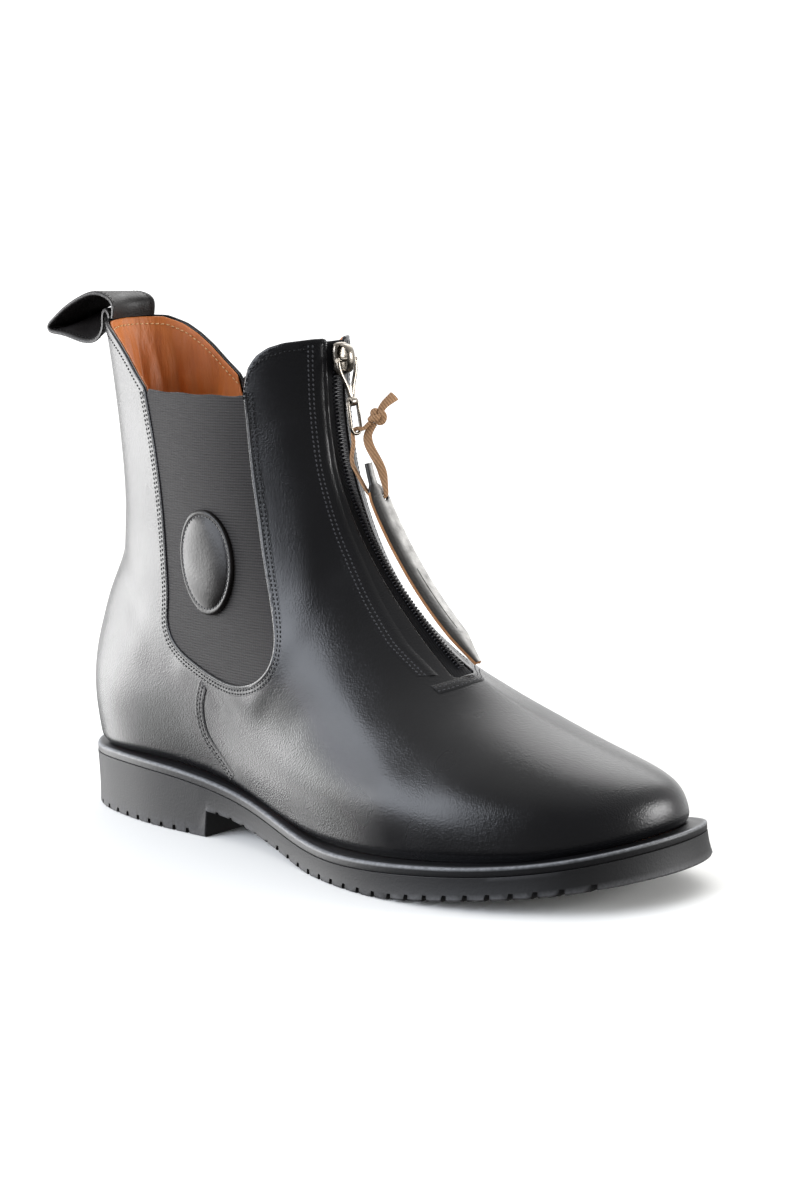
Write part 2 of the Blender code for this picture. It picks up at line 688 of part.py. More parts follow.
StrapStation = namedtuple("StrapStation", "z half_width shift stand_off")
STRAP = [
    StrapStation(148.0, 2.0, 2.8, 7.4), StrapStation(144.0, 2.4, 2.8, 7.2),
    StrapStation(139.5, 2.6, 2.9, 6.9), StrapStation(137.0, 4.6, 3.1, 6.7),
    StrapStation(133.0, 5.2, 3.2, 6.5), StrapStation(120.0, 5.3, 3.2, 6.6),
    StrapStation(109.0, 5.3, 3.2, 6.2), StrapStation(99.0, 5.3, 3.2, 5.4),
    StrapStation(89.0, 5.2, 3.2, 4.6), StrapStation(83.0, 5.0, 3.2, 4.2),
    StrapStation(75.0, 1.6, 3.4, 2.2),
]
HOLE_Z = 133.6
HOLE_Y = 5.0
HOLE_STAND_OFF = 6.5


def strap_points(lift):
    made = []
    for s in STRAP:
        place = front_line(s.z, s.stand_off + lift)
        edges = (s.shift - s.half_width, s.shift + s.half_width)
        made.append([(place[0], y, place[1]) for y in edges])
    return made


under = strap_points(0.0)
over = strap_points(STRAP_THICK)
points = []
for low, high in zip(under, over):
    points += [low[0], low[1], high[1], high[0]]
faces = ring_faces(len(STRAP), 4) + [(3, 2, 1, 0)]
end = 4 * (len(STRAP) - 1)
faces.append((end, end + 1, end + 2, end + 3))
pull_strap = add("pull_strap", mesh_of("pull_strap", points, faces), parts, STRAP_LEATHER)
hole_place = front_line(HOLE_Z, HOLE_STAND_OFF + STRAP_THICK / 2.0)
strap_up = front_line(HOLE_Z + 2.0, HOLE_STAND_OFF) - front_line(HOLE_Z - 2.0, HOLE_STAND_OFF)
strap_up /= np.linalg.norm(strap_up)
strap_out = np.array([strap_up[1], -strap_up[0]])


def by_strap(along, outward, y):
    place = hole_place + strap_up * along + strap_out * outward
    return (place[0], y, place[1])


hole_ends = (by_strap(0.0, -8.0, HOLE_Y), by_strap(0.0, 8.0, HOLE_Y))
hole = rod("strap_hole", hole_ends[0], hole_ends[1], CORD_RADIUS + 0.6, cutters, None, 12)
apply_boolean(pull_strap, hole, "DIFFERENCE")

# Cord: through the foot of the ring, through the strap's hole and up to the knot, with one loose end
FOOT = hang(0.0, 0.0, RING_DROP)
KNOT = (FOOT[0] + 4.8, 6.4, FOOT[2] + 6.2)
KNOT_HALF = (2.8, 3.2, 3.2)


def by_knot(x, y, z, gap):
    # A place just off the knot in the direction given
    way = Vector((x, y, z)).normalized()
    reach = 1.0 / math.sqrt(sum((way[i] / KNOT_HALF[i]) ** 2 for i in range(3))) + gap
    return tuple(KNOT[i] + way[i] * reach for i in range(3))


cord_path = smooth_path([
    by_knot(-0.5, -0.6, -0.62, 0.25),
    by_knot(-0.5, -0.6, -0.62, 1.2),
    (FOOT[0] + 1.5, 1.4, FOOT[2] + 1.8),
    (FOOT[0] - 0.2, 0.5, FOOT[2] + 2.0),
    (FOOT[0] - 1.9, -0.1, FOOT[2] + 0.4),
    (FOOT[0] - 1.9, -0.1, FOOT[2] - 2.6),
    by_strap(18.0, -2.9, -0.4),
    by_strap(9.0, -2.9, 0.4),
    by_strap(3.0, -3.2, 2.8),
    by_strap(0.4, -2.2, HOLE_Y),
    by_strap(0.0, 0.0, HOLE_Y),
    by_strap(0.4, 2.2, HOLE_Y),
    by_strap(3.4, 3.4, 5.2),
    by_strap(12.0, 4.2, 5.6),
    by_knot(-0.1, -0.05, -1.0, 5.0),
    by_knot(-0.1, -0.05, -1.0, 0.25),
], 42)
pull_cord = tube("pull_cord", [tuple(p) for p in cord_path], CORD_RADIUS, CORD_COTTON, sides=2)
knot_mesh = bpy.data.meshes.new("cord_knot")
work = bmesh.new()
bmesh.ops.create_uvsphere(work, u_segments=12, v_segments=7, radius=1.0)
for v in work.verts:
    v.co = Vector([KNOT[i] + KNOT_HALF[i] * v.co[i] for i in range(3)]) * MM
work.to_mesh(knot_mesh)
work.free()
cord_knot = add("cord_knot", knot_mesh, parts, CORD_COTTON)
end_path = smooth_path([
    by_knot(0.18, 0.6, 0.78, 0.2), by_knot(0.18, 0.6, 0.78, 1.8),
    (KNOT[0] + 1.5, KNOT[1] + 6.2, KNOT[2] + 6.0), (KNOT[0] + 1.3, KNOT[1] + 8.8, KNOT[2] + 7.0),
], 12)
cord_end = tube("cord_end", [tuple(p) for p in end_path], CORD_RADIUS, CORD_COTTON, sides=2)

# Pull loop: a strap that rises from the collar's back edge, flops backwards and hangs back to it.
# bow is how much of the back's own curve the strap follows across its width
LoopStation = namedtuple("LoopStation", "x z bow")
LOOP = [
    LoopStation(23.8, 204.8, 1.0), LoopStation(24.6, 208.2, 1.0), LoopStation(22.4, 211.8, 0.9),
    LoopStation(14.6, 213.8, 0.7), LoopStation(5.0, 211.2, 0.4), LoopStation(-4.2, 206.6, 0.15),
    LoopStation(-10.6, 202.2, 0.0), LoopStation(-13.4, 200.2, 0.0), LoopStation(-13.9, 198.6, 0.0),
    LoopStation(-11.8, 197.3, 0.0), LoopStation(-6.0, 196.6, 0.05), LoopStation(0.5, 195.2, 0.15),
    LoopStation(6.0, 193.9, 0.3), LoopStation(11.4, 193.8, 0.55), LoopStation(15.4, 195.8, 0.8),
    LoopStation(17.6, 199.6, 0.95), LoopStation(18.0, 203.6, 1.0), LoopStation(19.0, 206.4, 1.0),
    LoopStation(21.0, 206.5, 1.0), LoopStation(21.6, 204.8, 1.0),
]
LOOP_ACROSS = (-1.0, -0.45, 0.45, 1.0)
loop_turns = np.linspace(0.0, len(LOOP) - 1.0, 2 * len(LOOP) - 1)
loop_path = natural_spline(np.arange(len(LOOP), dtype=float), np.array(LOOP), loop_turns)
points = []
for i, place in enumerate(loop_path):
    run = loop_path[min(i + 1, len(loop_path) - 1)] - loop_path[max(i - 1, 0)]
    run /= np.linalg.norm(run[:2])
    out = np.array([run[1], -run[0]]) * (LOOP_THICK / 2.0)
    for lift, order in ((-1.0, LOOP_ACROSS), (1.0, LOOP_ACROSS[::-1])):
        for side in order:
            y = side * LOOP_HALF_WIDTH
            x = place[0] + out[0] * lift + place[2] * BACK_BOW * y * y
            points.append((x, y, place[1] + out[1] * lift))
columns = 2 * len(LOOP_ACROSS)
faces = ring_faces(len(loop_path), columns) + [tuple(range(columns))[::-1]]
faces.append(tuple(range(columns * (len(loop_path) - 1), columns * len(loop_path))))
pull_loop = add("pull_loop", mesh_of("pull_loop", points, faces), parts, LOOP_LEATHER)

# The origin lies on the floor under the middle of the heel
for made in list(parts.objects) + list(cutters.objects):
    made.location.x -= ORIGIN_X * MM
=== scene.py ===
import math

import bmesh
import bpy
import numpy as np
from mathutils import Matrix, Vector, noise
from mathutils.bvhtree import BVHTree


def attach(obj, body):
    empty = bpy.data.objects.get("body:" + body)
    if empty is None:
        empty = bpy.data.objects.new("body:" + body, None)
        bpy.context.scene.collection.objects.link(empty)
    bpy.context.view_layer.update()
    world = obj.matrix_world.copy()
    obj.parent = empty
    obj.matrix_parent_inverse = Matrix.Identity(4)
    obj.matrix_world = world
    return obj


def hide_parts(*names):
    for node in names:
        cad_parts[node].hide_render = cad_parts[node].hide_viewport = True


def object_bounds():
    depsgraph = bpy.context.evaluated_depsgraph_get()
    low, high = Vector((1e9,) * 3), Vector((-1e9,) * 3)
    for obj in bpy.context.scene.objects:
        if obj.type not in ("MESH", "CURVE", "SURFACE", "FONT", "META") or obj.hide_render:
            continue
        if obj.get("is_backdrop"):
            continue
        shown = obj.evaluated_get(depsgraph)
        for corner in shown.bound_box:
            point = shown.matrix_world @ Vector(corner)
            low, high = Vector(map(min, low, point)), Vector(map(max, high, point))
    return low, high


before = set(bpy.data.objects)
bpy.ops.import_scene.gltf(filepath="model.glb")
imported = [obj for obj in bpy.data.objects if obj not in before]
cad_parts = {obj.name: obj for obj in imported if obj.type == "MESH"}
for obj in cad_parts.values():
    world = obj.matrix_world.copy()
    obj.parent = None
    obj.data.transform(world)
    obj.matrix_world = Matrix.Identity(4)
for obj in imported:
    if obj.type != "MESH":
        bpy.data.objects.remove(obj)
cadLow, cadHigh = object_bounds()
print("frame loaded:", len(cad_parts), "solids")

# Right ankle boot. Sizes are in mm: X runs from the back of the heel to the toe, Y to the inner side and
# Z up from the floor
originX = 46.0  # the row's origin lies under the middle of the heel


def toRow(points):
    return (np.asarray(points, float) - np.array([originX, 0.0, 0.0])) * 0.001


def linear(code):
    parts = [int(code[k:k + 2], 16) / 255.0 for k in (1, 3, 5)]
    bent = [part / 12.92 if part <= 0.04045 else ((part + 0.055) / 1.055) ** 2.4 for part in parts]
    return tuple(bent) + (1.0,)


def setInputs(tree, node, inputs):
    for key, value in inputs.items():
        if isinstance(value, bpy.types.NodeSocket):
            tree.links.new(value, node.inputs[key])
        else:
            node.inputs[key].default_value = value


def addNode(tree, kind, inputs=(), **settings):
    made = tree.nodes.new("ShaderNode" + kind)
    for key, value in settings.items():
        setattr(made, key, value)
    setInputs(tree, made, dict(inputs))
    return made


# Camera: the photo's angle, a long lens from the front on the outer side, rolled a little
cameraLook = {"azimuth": 43.5, "elevation": 10.4, "roll": -2.2, "distance": 1.0, "lens": 78.69,
              "target": (0.1266, 0.0, 0.0991)}
azimuth = math.radians(cameraLook["azimuth"])
elevation = math.radians(cameraLook["elevation"])
roll = math.radians(cameraLook["roll"])
backWay = Vector((math.sin(azimuth) * math.cos(elevation), -math.cos(azimuth) * math.cos(elevation),
                  math.sin(elevation)))
rightWay = Vector((0.0, 0.0, 1.0)).cross(backWay).normalized()
upWay = backWay.cross(rightWay)
acrossWay = rightWay * math.cos(roll) + upWay * math.sin(roll)
aboveWay = upWay * math.cos(roll) - rightWay * math.sin(roll)
cameraData = bpy.data.cameras.new("photoCamera")
cameraData.lens = cameraLook["lens"]
cameraData.sensor_width = 36.0
cameraObject = bpy.data.objects.new("photoCamera", cameraData)
bpy.context.scene.collection.objects.link(cameraObject)
turn = Matrix((acrossWay, aboveWay, backWay)).transposed().to_4x4()
place = Vector(cameraLook["target"]) + backWay * cameraLook["distance"]
cameraObject.matrix_world = Matrix.Translation(place) @ turn
bpy.context.scene.camera = cameraObject
bpy.context.scene.view_settings.view_transform = "Standard"
print("camera placed")

# Studio: white floor, bright surround behind the boot, soft panels behind the heel, to the outer side,
# off the toe and high on the inner side. Each panel: name, place and size in m, watts, tint
studio = {"floor": "#e8e8e6", "half": 0.85, "facing": (0.688, -0.725, 0.0), "aim": (0.1, 0.0, 0.09),
          "far": 1.4, "near": 0.34, "sweep": (-0.3, 0.7), "below": 0.12, "horizon": (-0.3, -0.16),
          "lights": [("heelPanel", (-1.21, -0.36, -0.08), (1.0, 1.0), 16.0, "#ffffff"),
                     ("heelWindow", (-1.0, -0.6, 0.13), (0.7, 0.45), 7.2, "#ffffff"),
                     ("sidePanel", (-0.36, -1.08, 0.6), (1.0, 0.9), 23.0, "#eef4ff"),
                     ("toePanel", (1.19, 0.68, 0.27), (0.5, 0.5), 14.0, "#ffffff"),
                     ("backPanel", (-0.21, 0.86, 1.0), (1.0, 1.0), 10.0, "#ffffff")]}
half = studio["half"]
floorCorners = [(-half, -half, 0), (half, -half, 0), (half, half, 0), (-half, half, 0)]
floorMesh = bpy.data.meshes.new("floor")
floorMesh.from_pydata(floorCorners, [], [(0, 1, 2, 3)])
floorObject = bpy.data.objects.new("floor", floorMesh)
bpy.context.scene.collection.objects.link(floorObject)
floorPaint = bpy.data.materials.new("studio_floor_matt_paint")  # even white, no gloss
floorPaint.use_nodes = True
setInputs(floorPaint.node_tree, floorPaint.node_tree.nodes["Principled BSDF"],
          {"Base Color": linear(studio["floor"]), "Roughness": 0.9, "Specular IOR Level": 0.1})
floorMesh.materials.append(floorPaint)
floorObject.visible_glossy = False  # keeps the leather black where it faces the floor
floorObject.visible_shadow = False  # the low part of the heel panel stays bright in the leather
floorObject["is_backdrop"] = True
surround = bpy.data.worlds.new("studioSurround")
surround.use_nodes = True
bpy.context.scene.world = surround
sky = surround.node_tree
lookWay = addNode(sky, "TexCoord").outputs["Generated"]
front = addNode(sky, "VectorMath", {0: lookWay, 1: studio["facing"]}, operation="DOT_PRODUCT")
sweep, horizon = studio["sweep"], studio["horizon"]
shade = addNode(sky, "MapRange", {"Value": front.outputs["Value"], "From Min": sweep[0], "From Max": sweep[1],
                                  "To Min": studio["far"], "To Max": studio["near"]})
height = addNode(sky, "SeparateXYZ", {0: lookWay})
ground = addNode(sky, "MapRange", {"Value": height.outputs["Z"], "From Min": horizon[0],
                                   "From Max": horizon[1], "To Min": studio["below"], "To Max": 1.0})
glow = addNode(sky, "Math", {0: shade.outputs["Result"], 1: ground.outputs["Result"]}, operation="MULTIPLY")
setInputs(sky, sky.nodes["Background"], {"Strength": glow.outputs["Value"], "Color": (1.0, 1.0, 1.0, 1.0)})
for lightName, lightPlace, lightSize, lightPower, lightTint in studio["lights"]:
    lamp = bpy.data.lights.new(lightName, "AREA")
    lamp.shape = "RECTANGLE"
    lamp.size, lamp.size_y = lightSize
    lamp.energy = lightPower
    lamp.color = linear(lightTint)[:3]
    lampObject = bpy.data.objects.new(lightName, lamp)
    bpy.context.scene.collection.objects.link(lampObject)
    lampObject.location = lightPlace
    lampObject.rotation_mode = "QUATERNION"
    lampObject.rotation_quaternion = (Vector(studio["aim"]) - Vector(lightPlace)).to_track_quat("-Z", "Y")
    lampObject.visible_camera = False
print("studio lit")

mmInMetre = 1000.0
wavePeriod = 0.31416  # a wave texture repeats after this divided by its scale


def startMaterial(name):
    made = bpy.data.materials.new(name)
    made.use_nodes = True
    tree = made.node_tree
    where = addNode(tree, "TexCoord")
    return made, tree, tree.nodes["Principled BSDF"], where.outputs["Object"]


def finishMaterial(tree, shader, look, toneBy, finish, bumpBy=None, bumpDeep=0.0003, patchBy=None):
    # colour from dark to pale by one pattern, relief by another, pale patches of wear and of painted sheen
    # where the mesh marks them
    tone = addNode(tree, "Mix", {0: toneBy, 6: linear(look["dark"]), 7: linear(look["pale"])},
                   data_type="RGBA").outputs[2]
    if "wearAndSheenTone" in look:
        paleShare = addNode(tree, "Attribute", attribute_name="wearAndSheen")
        patch = addNode(tree, "Math", {0: paleShare.outputs["Fac"], 1: patchBy}, operation="MULTIPLY")
        tone = addNode(tree, "Mix", {0: patch.outputs["Value"], 6: tone, 7: linear(look["wearAndSheenTone"])},
                       data_type="RGBA").outputs[2]
    setInputs(tree, shader, {"Base Color": tone, **finish})
    if bumpBy is not None:
        bump = addNode(tree, "Bump", {"Strength": look["bump"], "Distance": bumpDeep, "Height": bumpBy})
        tree.links.new(bump.outputs["Normal"], shader.inputs["Normal"])


# Black calfskin, aniline dyed and waxed: deep black, soft wide gloss, fine closed grain seen in the gloss
def calfMaterial(name, look):
    made, tree, shader, where = startMaterial(name)
    grain = addNode(tree, "TexVoronoi", {"Vector": where, "Scale": mmInMetre / look["grain"]},
                    feature="SMOOTH_F1")
    pore = addNode(tree, "TexNoise", {"Vector": where, "Scale": mmInMetre / look["pore"], "Detail": 5.0})
    cloud = addNode(tree, "TexNoise", {"Vector": where, "Scale": mmInMetre / look["cloud"], "Detail": 3.0})
    gloss = addNode(tree, "MapRange", {"Value": cloud.outputs["Fac"], "From Min": 0.3, "From Max": 0.7,
                                       "To Min": look["rough"][0], "To Max": look["rough"][1]})
    mixed = addNode(tree, "Math", {0: grain.outputs["Distance"], 1: pore.outputs["Fac"]}, operation="ADD")
    finish = {"Roughness": gloss.outputs["Result"], "IOR": 1.48, "Specular IOR Level": look["shine"],
              "Coat Weight": look["coat"], "Coat Roughness": 0.24}
    finishMaterial(tree, shader, look, cloud.outputs["Fac"], finish, mixed.outputs["Value"],
                   patchBy=pore.outputs["Fac"])
    return made


# Grain about 0.4 mm, drawn at 0.55 mm so that it shows
calf = calfMaterial("calfskin_aniline_waxed", {
    "dark": "#050506", "pale": "#0b0b0e", "grain": 0.55, "pore": 0.6, "cloud": 38.0, "rough": (0.2, 0.3),
    "bump": 0.27, "shine": 0.3, "coat": 0.08})
# Smoother and a little duller than the upper, its grain drawn coarser
badgeCalf = calfMaterial("calfskin_polished_badge", {
    "dark": "#070606", "pale": "#120e0d", "grain": 1.1, "pore": 3.0, "cloud": 14.0, "rough": (0.26, 0.38),
    "bump": 0.14, "shine": 0.2, "coat": 0.06})
# Dull brown black, its grain drawn coarser
loopCalf = calfMaterial("calfskin_glazed_loop", {
    "dark": "#0d0b0b", "pale": "#1b1817", "grain": 0.8, "pore": 1.6, "cloud": 9.0, "rough": (0.42, 0.58),
    "bump": 0.3, "shine": 0.3, "coat": 0.03})
# Painted reflection: pale grey in patches towards the strap's inner side, its grain drawn coarser
strapCalf = calfMaterial("calfskin_strap_painted_reflection", {
    "dark": "#0e0c0a", "pale": "#211e1b", "grain": 0.9, "pore": 4.0, "cloud": 8.0, "rough": (0.34, 0.5),
    "bump": 0.35, "shine": 0.35, "coat": 0.1, "wearAndSheenTone": "#b4b2af"})


# Vegetable tanned leather: warm tan with darker clouds, dry soft gloss
def tanMaterial(name, look):
    made, tree, shader, where = startMaterial(name)
    cloud = addNode(tree, "TexNoise", {"Vector": where, "Scale": mmInMetre / look["cloud"], "Detail": 4.0})
    stretched = addNode(tree, "Mapping", {"Vector": where, "Scale": (1.0, 1.0, look["upright"])})
    fibre = addNode(tree, "TexNoise", {"Vector": stretched.outputs["Vector"], "Detail": 6.0,
                                       "Scale": mmInMetre / look["fibre"]})
    finishMaterial(tree, shader, look, cloud.outputs["Fac"], {"Roughness": look["rough"], "IOR": 1.45},
                   fibre.outputs["Fac"], 0.001)
    return made


lining = tanMaterial("calfskin_vegetable_tanned", {
    "dark": "#8f4718", "pale": "#cc7a38", "cloud": 22.0, "fibre": 3.2, "upright": 0.16,
    "rough": 0.5, "bump": 0.9})
# Dry brown fibres along the strap's cut edges
rawEdge = tanMaterial("leather_raw_cut", {
    "dark": "#5f3a22", "pale": "#93693f", "cloud": 3.0, "fibre": 0.6, "upright": 1.0,
    "rough": 0.85, "bump": 0.3})

# Woven elastic: rubber threads wrapped in yarn, matt grey ribs with dark grooves
elasticLook = {"rib": 1.1, "fluff": 0.8, "yarnShare": 0.14, "fluffShare": 0.22,
               "dark": "#010101", "pale": "#262120", "bump": 0.9}
goreElastic, tree, shader, where = startMaterial("elastic_woven_ribbed")
ribScale = wavePeriod * mmInMetre / elasticLook["rib"]
rib = addNode(tree, "TexWave", {"Vector": where, "Scale": ribScale, "Distortion": 0.35, "Detail": 2.0,
                                "Detail Scale": 1.0}, bands_direction="Z")
yarn = addNode(tree, "TexWave", {"Vector": where, "Scale": ribScale, "Distortion": 1.2, "Detail": 2.0},
               bands_direction="X")
fluff = addNode(tree, "TexNoise", {"Vector": where, "Scale": mmInMetre / elasticLook["fluff"], "Detail": 4.0})
weave = addNode(tree, "Mix", {0: elasticLook["yarnShare"], 2: rib.outputs["Fac"], 3: yarn.outputs["Fac"]})
weaveFluff = addNode(tree, "Mix", {0: elasticLook["fluffShare"], 2: weave.outputs[0],
                                   3: fluff.outputs["Fac"]})
elasticFinish = {"Roughness": 0.8, "Sheen Weight": 0.05, "Sheen Roughness": 0.5}
finishMaterial(tree, shader, elasticLook, weaveFluff.outputs[0], elasticFinish, weaveFluff.outputs[0], 0.0004)


# Moulded rubber: matt charcoal, faint pebble from the mould, pale on rubbed edges and painted highlights
def rubberMaterial(name, look):
    made, tree, shader, where = startMaterial(name)
    pebble = addNode(tree, "TexNoise", {"Vector": where, "Scale": mmInMetre / look["pebble"], "Detail": 6.0})
    cloud = addNode(tree, "TexNoise", {"Vector": where, "Scale": mmInMetre / look["cloud"], "Detail": 4.0})
    finish = {"Roughness": look["rough"], "Specular IOR Level": 0.3}
    finishMaterial(tree, shader, look, cloud.outputs["Fac"], finish, pebble.outputs["Fac"],
                   patchBy=pebble.outputs["Fac"])
    return made


soleRubber = rubberMaterial("rubber_moulded_matt", {
    "dark": "#0c0c0d", "pale": "#161618", "wearAndSheenTone": "#5c5c5e", "pebble": 0.9, "cloud": 30.0,
    "bump": 0.25, "rough": 0.55})
weltRubber = rubberMaterial("rubber_moulded_welt", {
    "dark": "#0a0a0b", "pale": "#131315", "wearAndSheenTone": "#8b8d91", "pebble": 1.6, "cloud": 30.0,
    "bump": 0.25, "rough": 0.42})

# Nickel plated brass, polished then handled: bright with small dull patches
nickelLook = {"patch": 1.5, "dark": "#4e463d", "pale": "#9c968d", "rough": (0.16, 0.34)}
nickel, tree, shader, where = startMaterial("nickel_plated_polished")
dull = addNode(tree, "TexNoise", {"Vector": where, "Scale": mmInMetre / nickelLook["patch"], "Detail": 4.0})
gloss = addNode(tree, "MapRange", {"Value": dull.outputs["Fac"], "From Min": 0.3, "From Max": 0.7,
                                   "To Min": nickelLook["rough"][0], "To Max": nickelLook["rough"][1]})
nickelFinish = {"Roughness": gloss.outputs["Result"], "Metallic": 1.0}
finishMaterial(tree, shader, nickelLook, dull.outputs["Fac"], nickelFinish)


# Spun and woven yarns: matt, the twist or weave shows as fine slanted bars
def yarnMaterial(name, look):
    made, tree, shader, where = startMaterial(name)
    twist = addNode(tree, "TexWave", {"Vector": where, "Scale": wavePeriod * mmInMetre / look["twist"],
                                      "Distortion": 1.0, "Detail": 2.0}, bands_direction="DIAGONAL")
    fluff = addNode(tree, "TexNoise", {"Vector": where, "Scale": mmInMetre / look["fluff"], "Detail": 5.0})
    bars = addNode(tree, "Mix", {0: look["mottle"], 2: twist.outputs["Fac"], 3: fluff.outputs["Fac"]})
    finish = {"Roughness": look["rough"], "Specular IOR Level": 0.25}
    finishMaterial(tree, shader, look, bars.outputs[0], finish, bars.outputs[0])
    return made


yarnKeys = ("twist", "fluff", "mottle", "dark", "pale", "bump", "rough")
yarnLooks = {
    "polyester_thread_waxed": (0.6, 0.5, 0.4, "#020203", "#101012", 0.2, 0.55),   # black seams
    # the grey of the zip and badge seams is a painted sheen on black thread
    "polyester_thread_painted_sheen": (0.6, 0.5, 0.4, "#141416", "#414144", 0.2, 0.55),  # zip and badge seams
    "linen_thread_natural": (0.6, 0.5, 0.4, "#a8804f", "#e2bd8d", 0.2, 0.7),      # pale seam in the lining
    "cotton_lace_waxed": (0.9, 0.7, 0.5, "#624832", "#a37f5e", 0.6, 0.75),        # tan lace
    "polyester_tape_woven": (0.7, 0.6, 0.4, "#050506", "#18181b", 0.5, 0.8),      # black tape of the zip
    "polyester_coil_moulded": (1.5, 1.2, 0.6, "#0c0c0e", "#2b2b2f", 0.1, 0.35),   # its teeth, a little gloss
}
yarns = [yarnMaterial(name, dict(zip(yarnKeys, values))) for name, values in yarnLooks.items()]
blackThread, greyThread, paleThread, laceCotton, zipCloth, zipTeeth = yarns
print("materials made:", len(bpy.data.materials))


# Curves and surfaces shared by the pieces
def naturalSpline(knots, values, places):
    knots = np.asarray(knots, float)
    values = np.asarray(values, float)
    places = np.atleast_1d(np.asarray(places, float))
    count = len(knots)
    step = np.diff(knots)
    matrix = np.eye(count)
    right = np.zeros((count,) + values.shape[1:])
    slope = (np.diff(values, axis=0).T / step).T
    for i in range(1, count - 1):
        matrix[i, i - 1] = step[i - 1]
        matrix[i, i] = 2.0 * (step[i - 1] + step[i])
        matrix[i, i + 1] = step[i]
        right[i] = 6.0 * (slope[i] - slope[i - 1])
    bend = np.linalg.solve(matrix, right)
    first = np.clip(np.searchsorted(knots, places) - 1, 0, count - 2)
    shape = (-1,) + (1,) * (values.ndim - 1)
    width = step[first].reshape(shape)
    before = (knots[first + 1] - places).reshape(shape) / width
    after = (places - knots[first]).reshape(shape) / width
    curve = (before ** 3 - before) * bend[first] + (after ** 3 - after) * bend[first + 1]
    return before * values[first] + after * values[first + 1] + curve * width * width / 6.0


def arcLength(points):
    return np.concatenate([[0.0], np.cumsum(np.linalg.norm(np.diff(points, axis=0), axis=1))])


def smoothPath(points, count):
    knots = np.array(points, float)
    run = arcLength(knots)
    return naturalSpline(run, knots, np.linspace(0.0, run[-1], count))


def readAlong(places, run, values):
    return np.stack([np.interp(places, run, values[:, k]) for k in range(values.shape[1])], axis=1)


def evenly(points, pitch):
    run = arcLength(points)
    count = max(2, int(round(run[-1] / pitch)) + 1)
    return readAlong(np.linspace(0.0, run[-1], count), run, points)


def unit(vectors):
    return vectors / np.maximum(np.linalg.norm(vectors, axis=-1, keepdims=True), 1e-9)


def makePiece(name, points, faces, materials, body, nodes=(), slot=None, faceLook=None, sharp=50.0,
              wearAndSheen=None):
    mesh = bpy.data.meshes.new(name)
    mesh.from_pydata(toRow(points).tolist(), [], [tuple(int(i) for i in face) for face in faces])
    for look in materials:
        mesh.materials.append(look)
    if faceLook is not None:
        mesh.polygons.foreach_set("material_index", np.asarray(faceLook, dtype=np.int32))
    if wearAndSheen is not None:
        layer = mesh.attributes.new("wearAndSheen", "FLOAT", "POINT")
        layer.data.foreach_set("value", np.asarray(wearAndSheen, dtype=np.float32))
    work = bmesh.new()
    work.from_mesh(mesh)
    bmesh.ops.remove_doubles(work, verts=work.verts, dist=0.00003)  # joins points closer than 0.03 mm
    bmesh.ops.recalc_face_normals(work, faces=work.faces)
    work.to_mesh(mesh)
    work.free()
    mesh.shade_smooth()
    mesh.set_sharp_from_angle(angle=math.radians(sharp))
    made = bpy.data.objects.new(name, mesh)
    bpy.context.scene.collection.objects.link(made)
    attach(made, body)
    if nodes:
        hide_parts(*nodes)
    print("  piece", name, sum(len(polygon.vertices) - 2 for polygon in mesh.polygons), "triangles")
    return made


def gridFaces(rings, count, looped=False):
    faces = []
    for ring in range(rings if looped else rings - 1):
        after = (ring + 1) % rings
        for k in range(count):
            beside = (k + 1) % count
            faces.append((ring * count + k, ring * count + beside, after * count + beside, after * count + k))
    return faces


def loft(sections, looped=False):
    rings, count = len(sections), len(sections[0])
    faces = gridFaces(rings, count, looped)
    if not looped:
        faces.append(tuple(range(count))[::-1])
        faces.append(tuple(range((rings - 1) * count, rings * count)))
    return np.concatenate(sections), faces


def joinLofts(lofts):
    points, faces, first = [], [], 0
    for loftPoints, loftFaces in lofts:
        points.append(loftPoints)
        faces += [tuple(i + first for i in face) for face in loftFaces]
        first += len(loftPoints)
    return np.concatenate(points), faces


def tubeAlong(path, halfWide, halfThick, sides=12, wideWay=None, looped=False):
    # an oval section carried along the path, without twist unless its wide way is given for each place
    steps = np.roll(path, -1, axis=0) - np.roll(path, 1, axis=0) if looped else np.gradient(path, axis=0)
    run = unit(steps)
    ways = np.array(wideWay if wideWay is not None else (0.0, 1.0, 0.0), float)
    across = ways if ways.ndim == 1 else ways[0]
    wide = np.broadcast_to(np.asarray(halfWide, float), len(path))
    thick = np.broadcast_to(np.asarray(halfThick, float), len(path))
    turns = 2.0 * math.pi * np.arange(sides) / sides
    sections = []
    for i, place in enumerate(path):
        across = across if ways.ndim == 1 else ways[i]
        across = across - run[i] * np.dot(across, run[i])
        across = across / np.linalg.norm(across)
        out = np.cross(run[i], across)
        section = place + np.outer(np.cos(turns) * wide[i], across)
        sections.append(section + np.outer(np.sin(turns) * thick[i], out))
    return loft(sections, looped=looped)


def carve(target, points, faces, sharp):
    # cuts closed forms out of a piece
    mesh = bpy.data.meshes.new("carving")
    mesh.from_pydata(toRow(points).tolist(), [], faces)
    work = bmesh.new()
    work.from_mesh(mesh)
    bmesh.ops.recalc_face_normals(work, faces=work.faces)
    work.to_mesh(mesh)
    work.free()
    form = bpy.data.objects.new("carving", mesh)
    bpy.context.scene.collection.objects.link(form)
    cutter = target.modifiers.new("carving", "BOOLEAN")
    cutter.operation = "DIFFERENCE"
    cutter.solver = "EXACT"
    cutter.object = form
    bpy.context.view_layer.update()
    target.data = bpy.data.meshes.new_from_object(target.evaluated_get(bpy.context.evaluated_depsgraph_get()))
    target.modifiers.clear()
    target.data.set_sharp_from_angle(angle=math.radians(sharp))
    bpy.data.objects.remove(form)


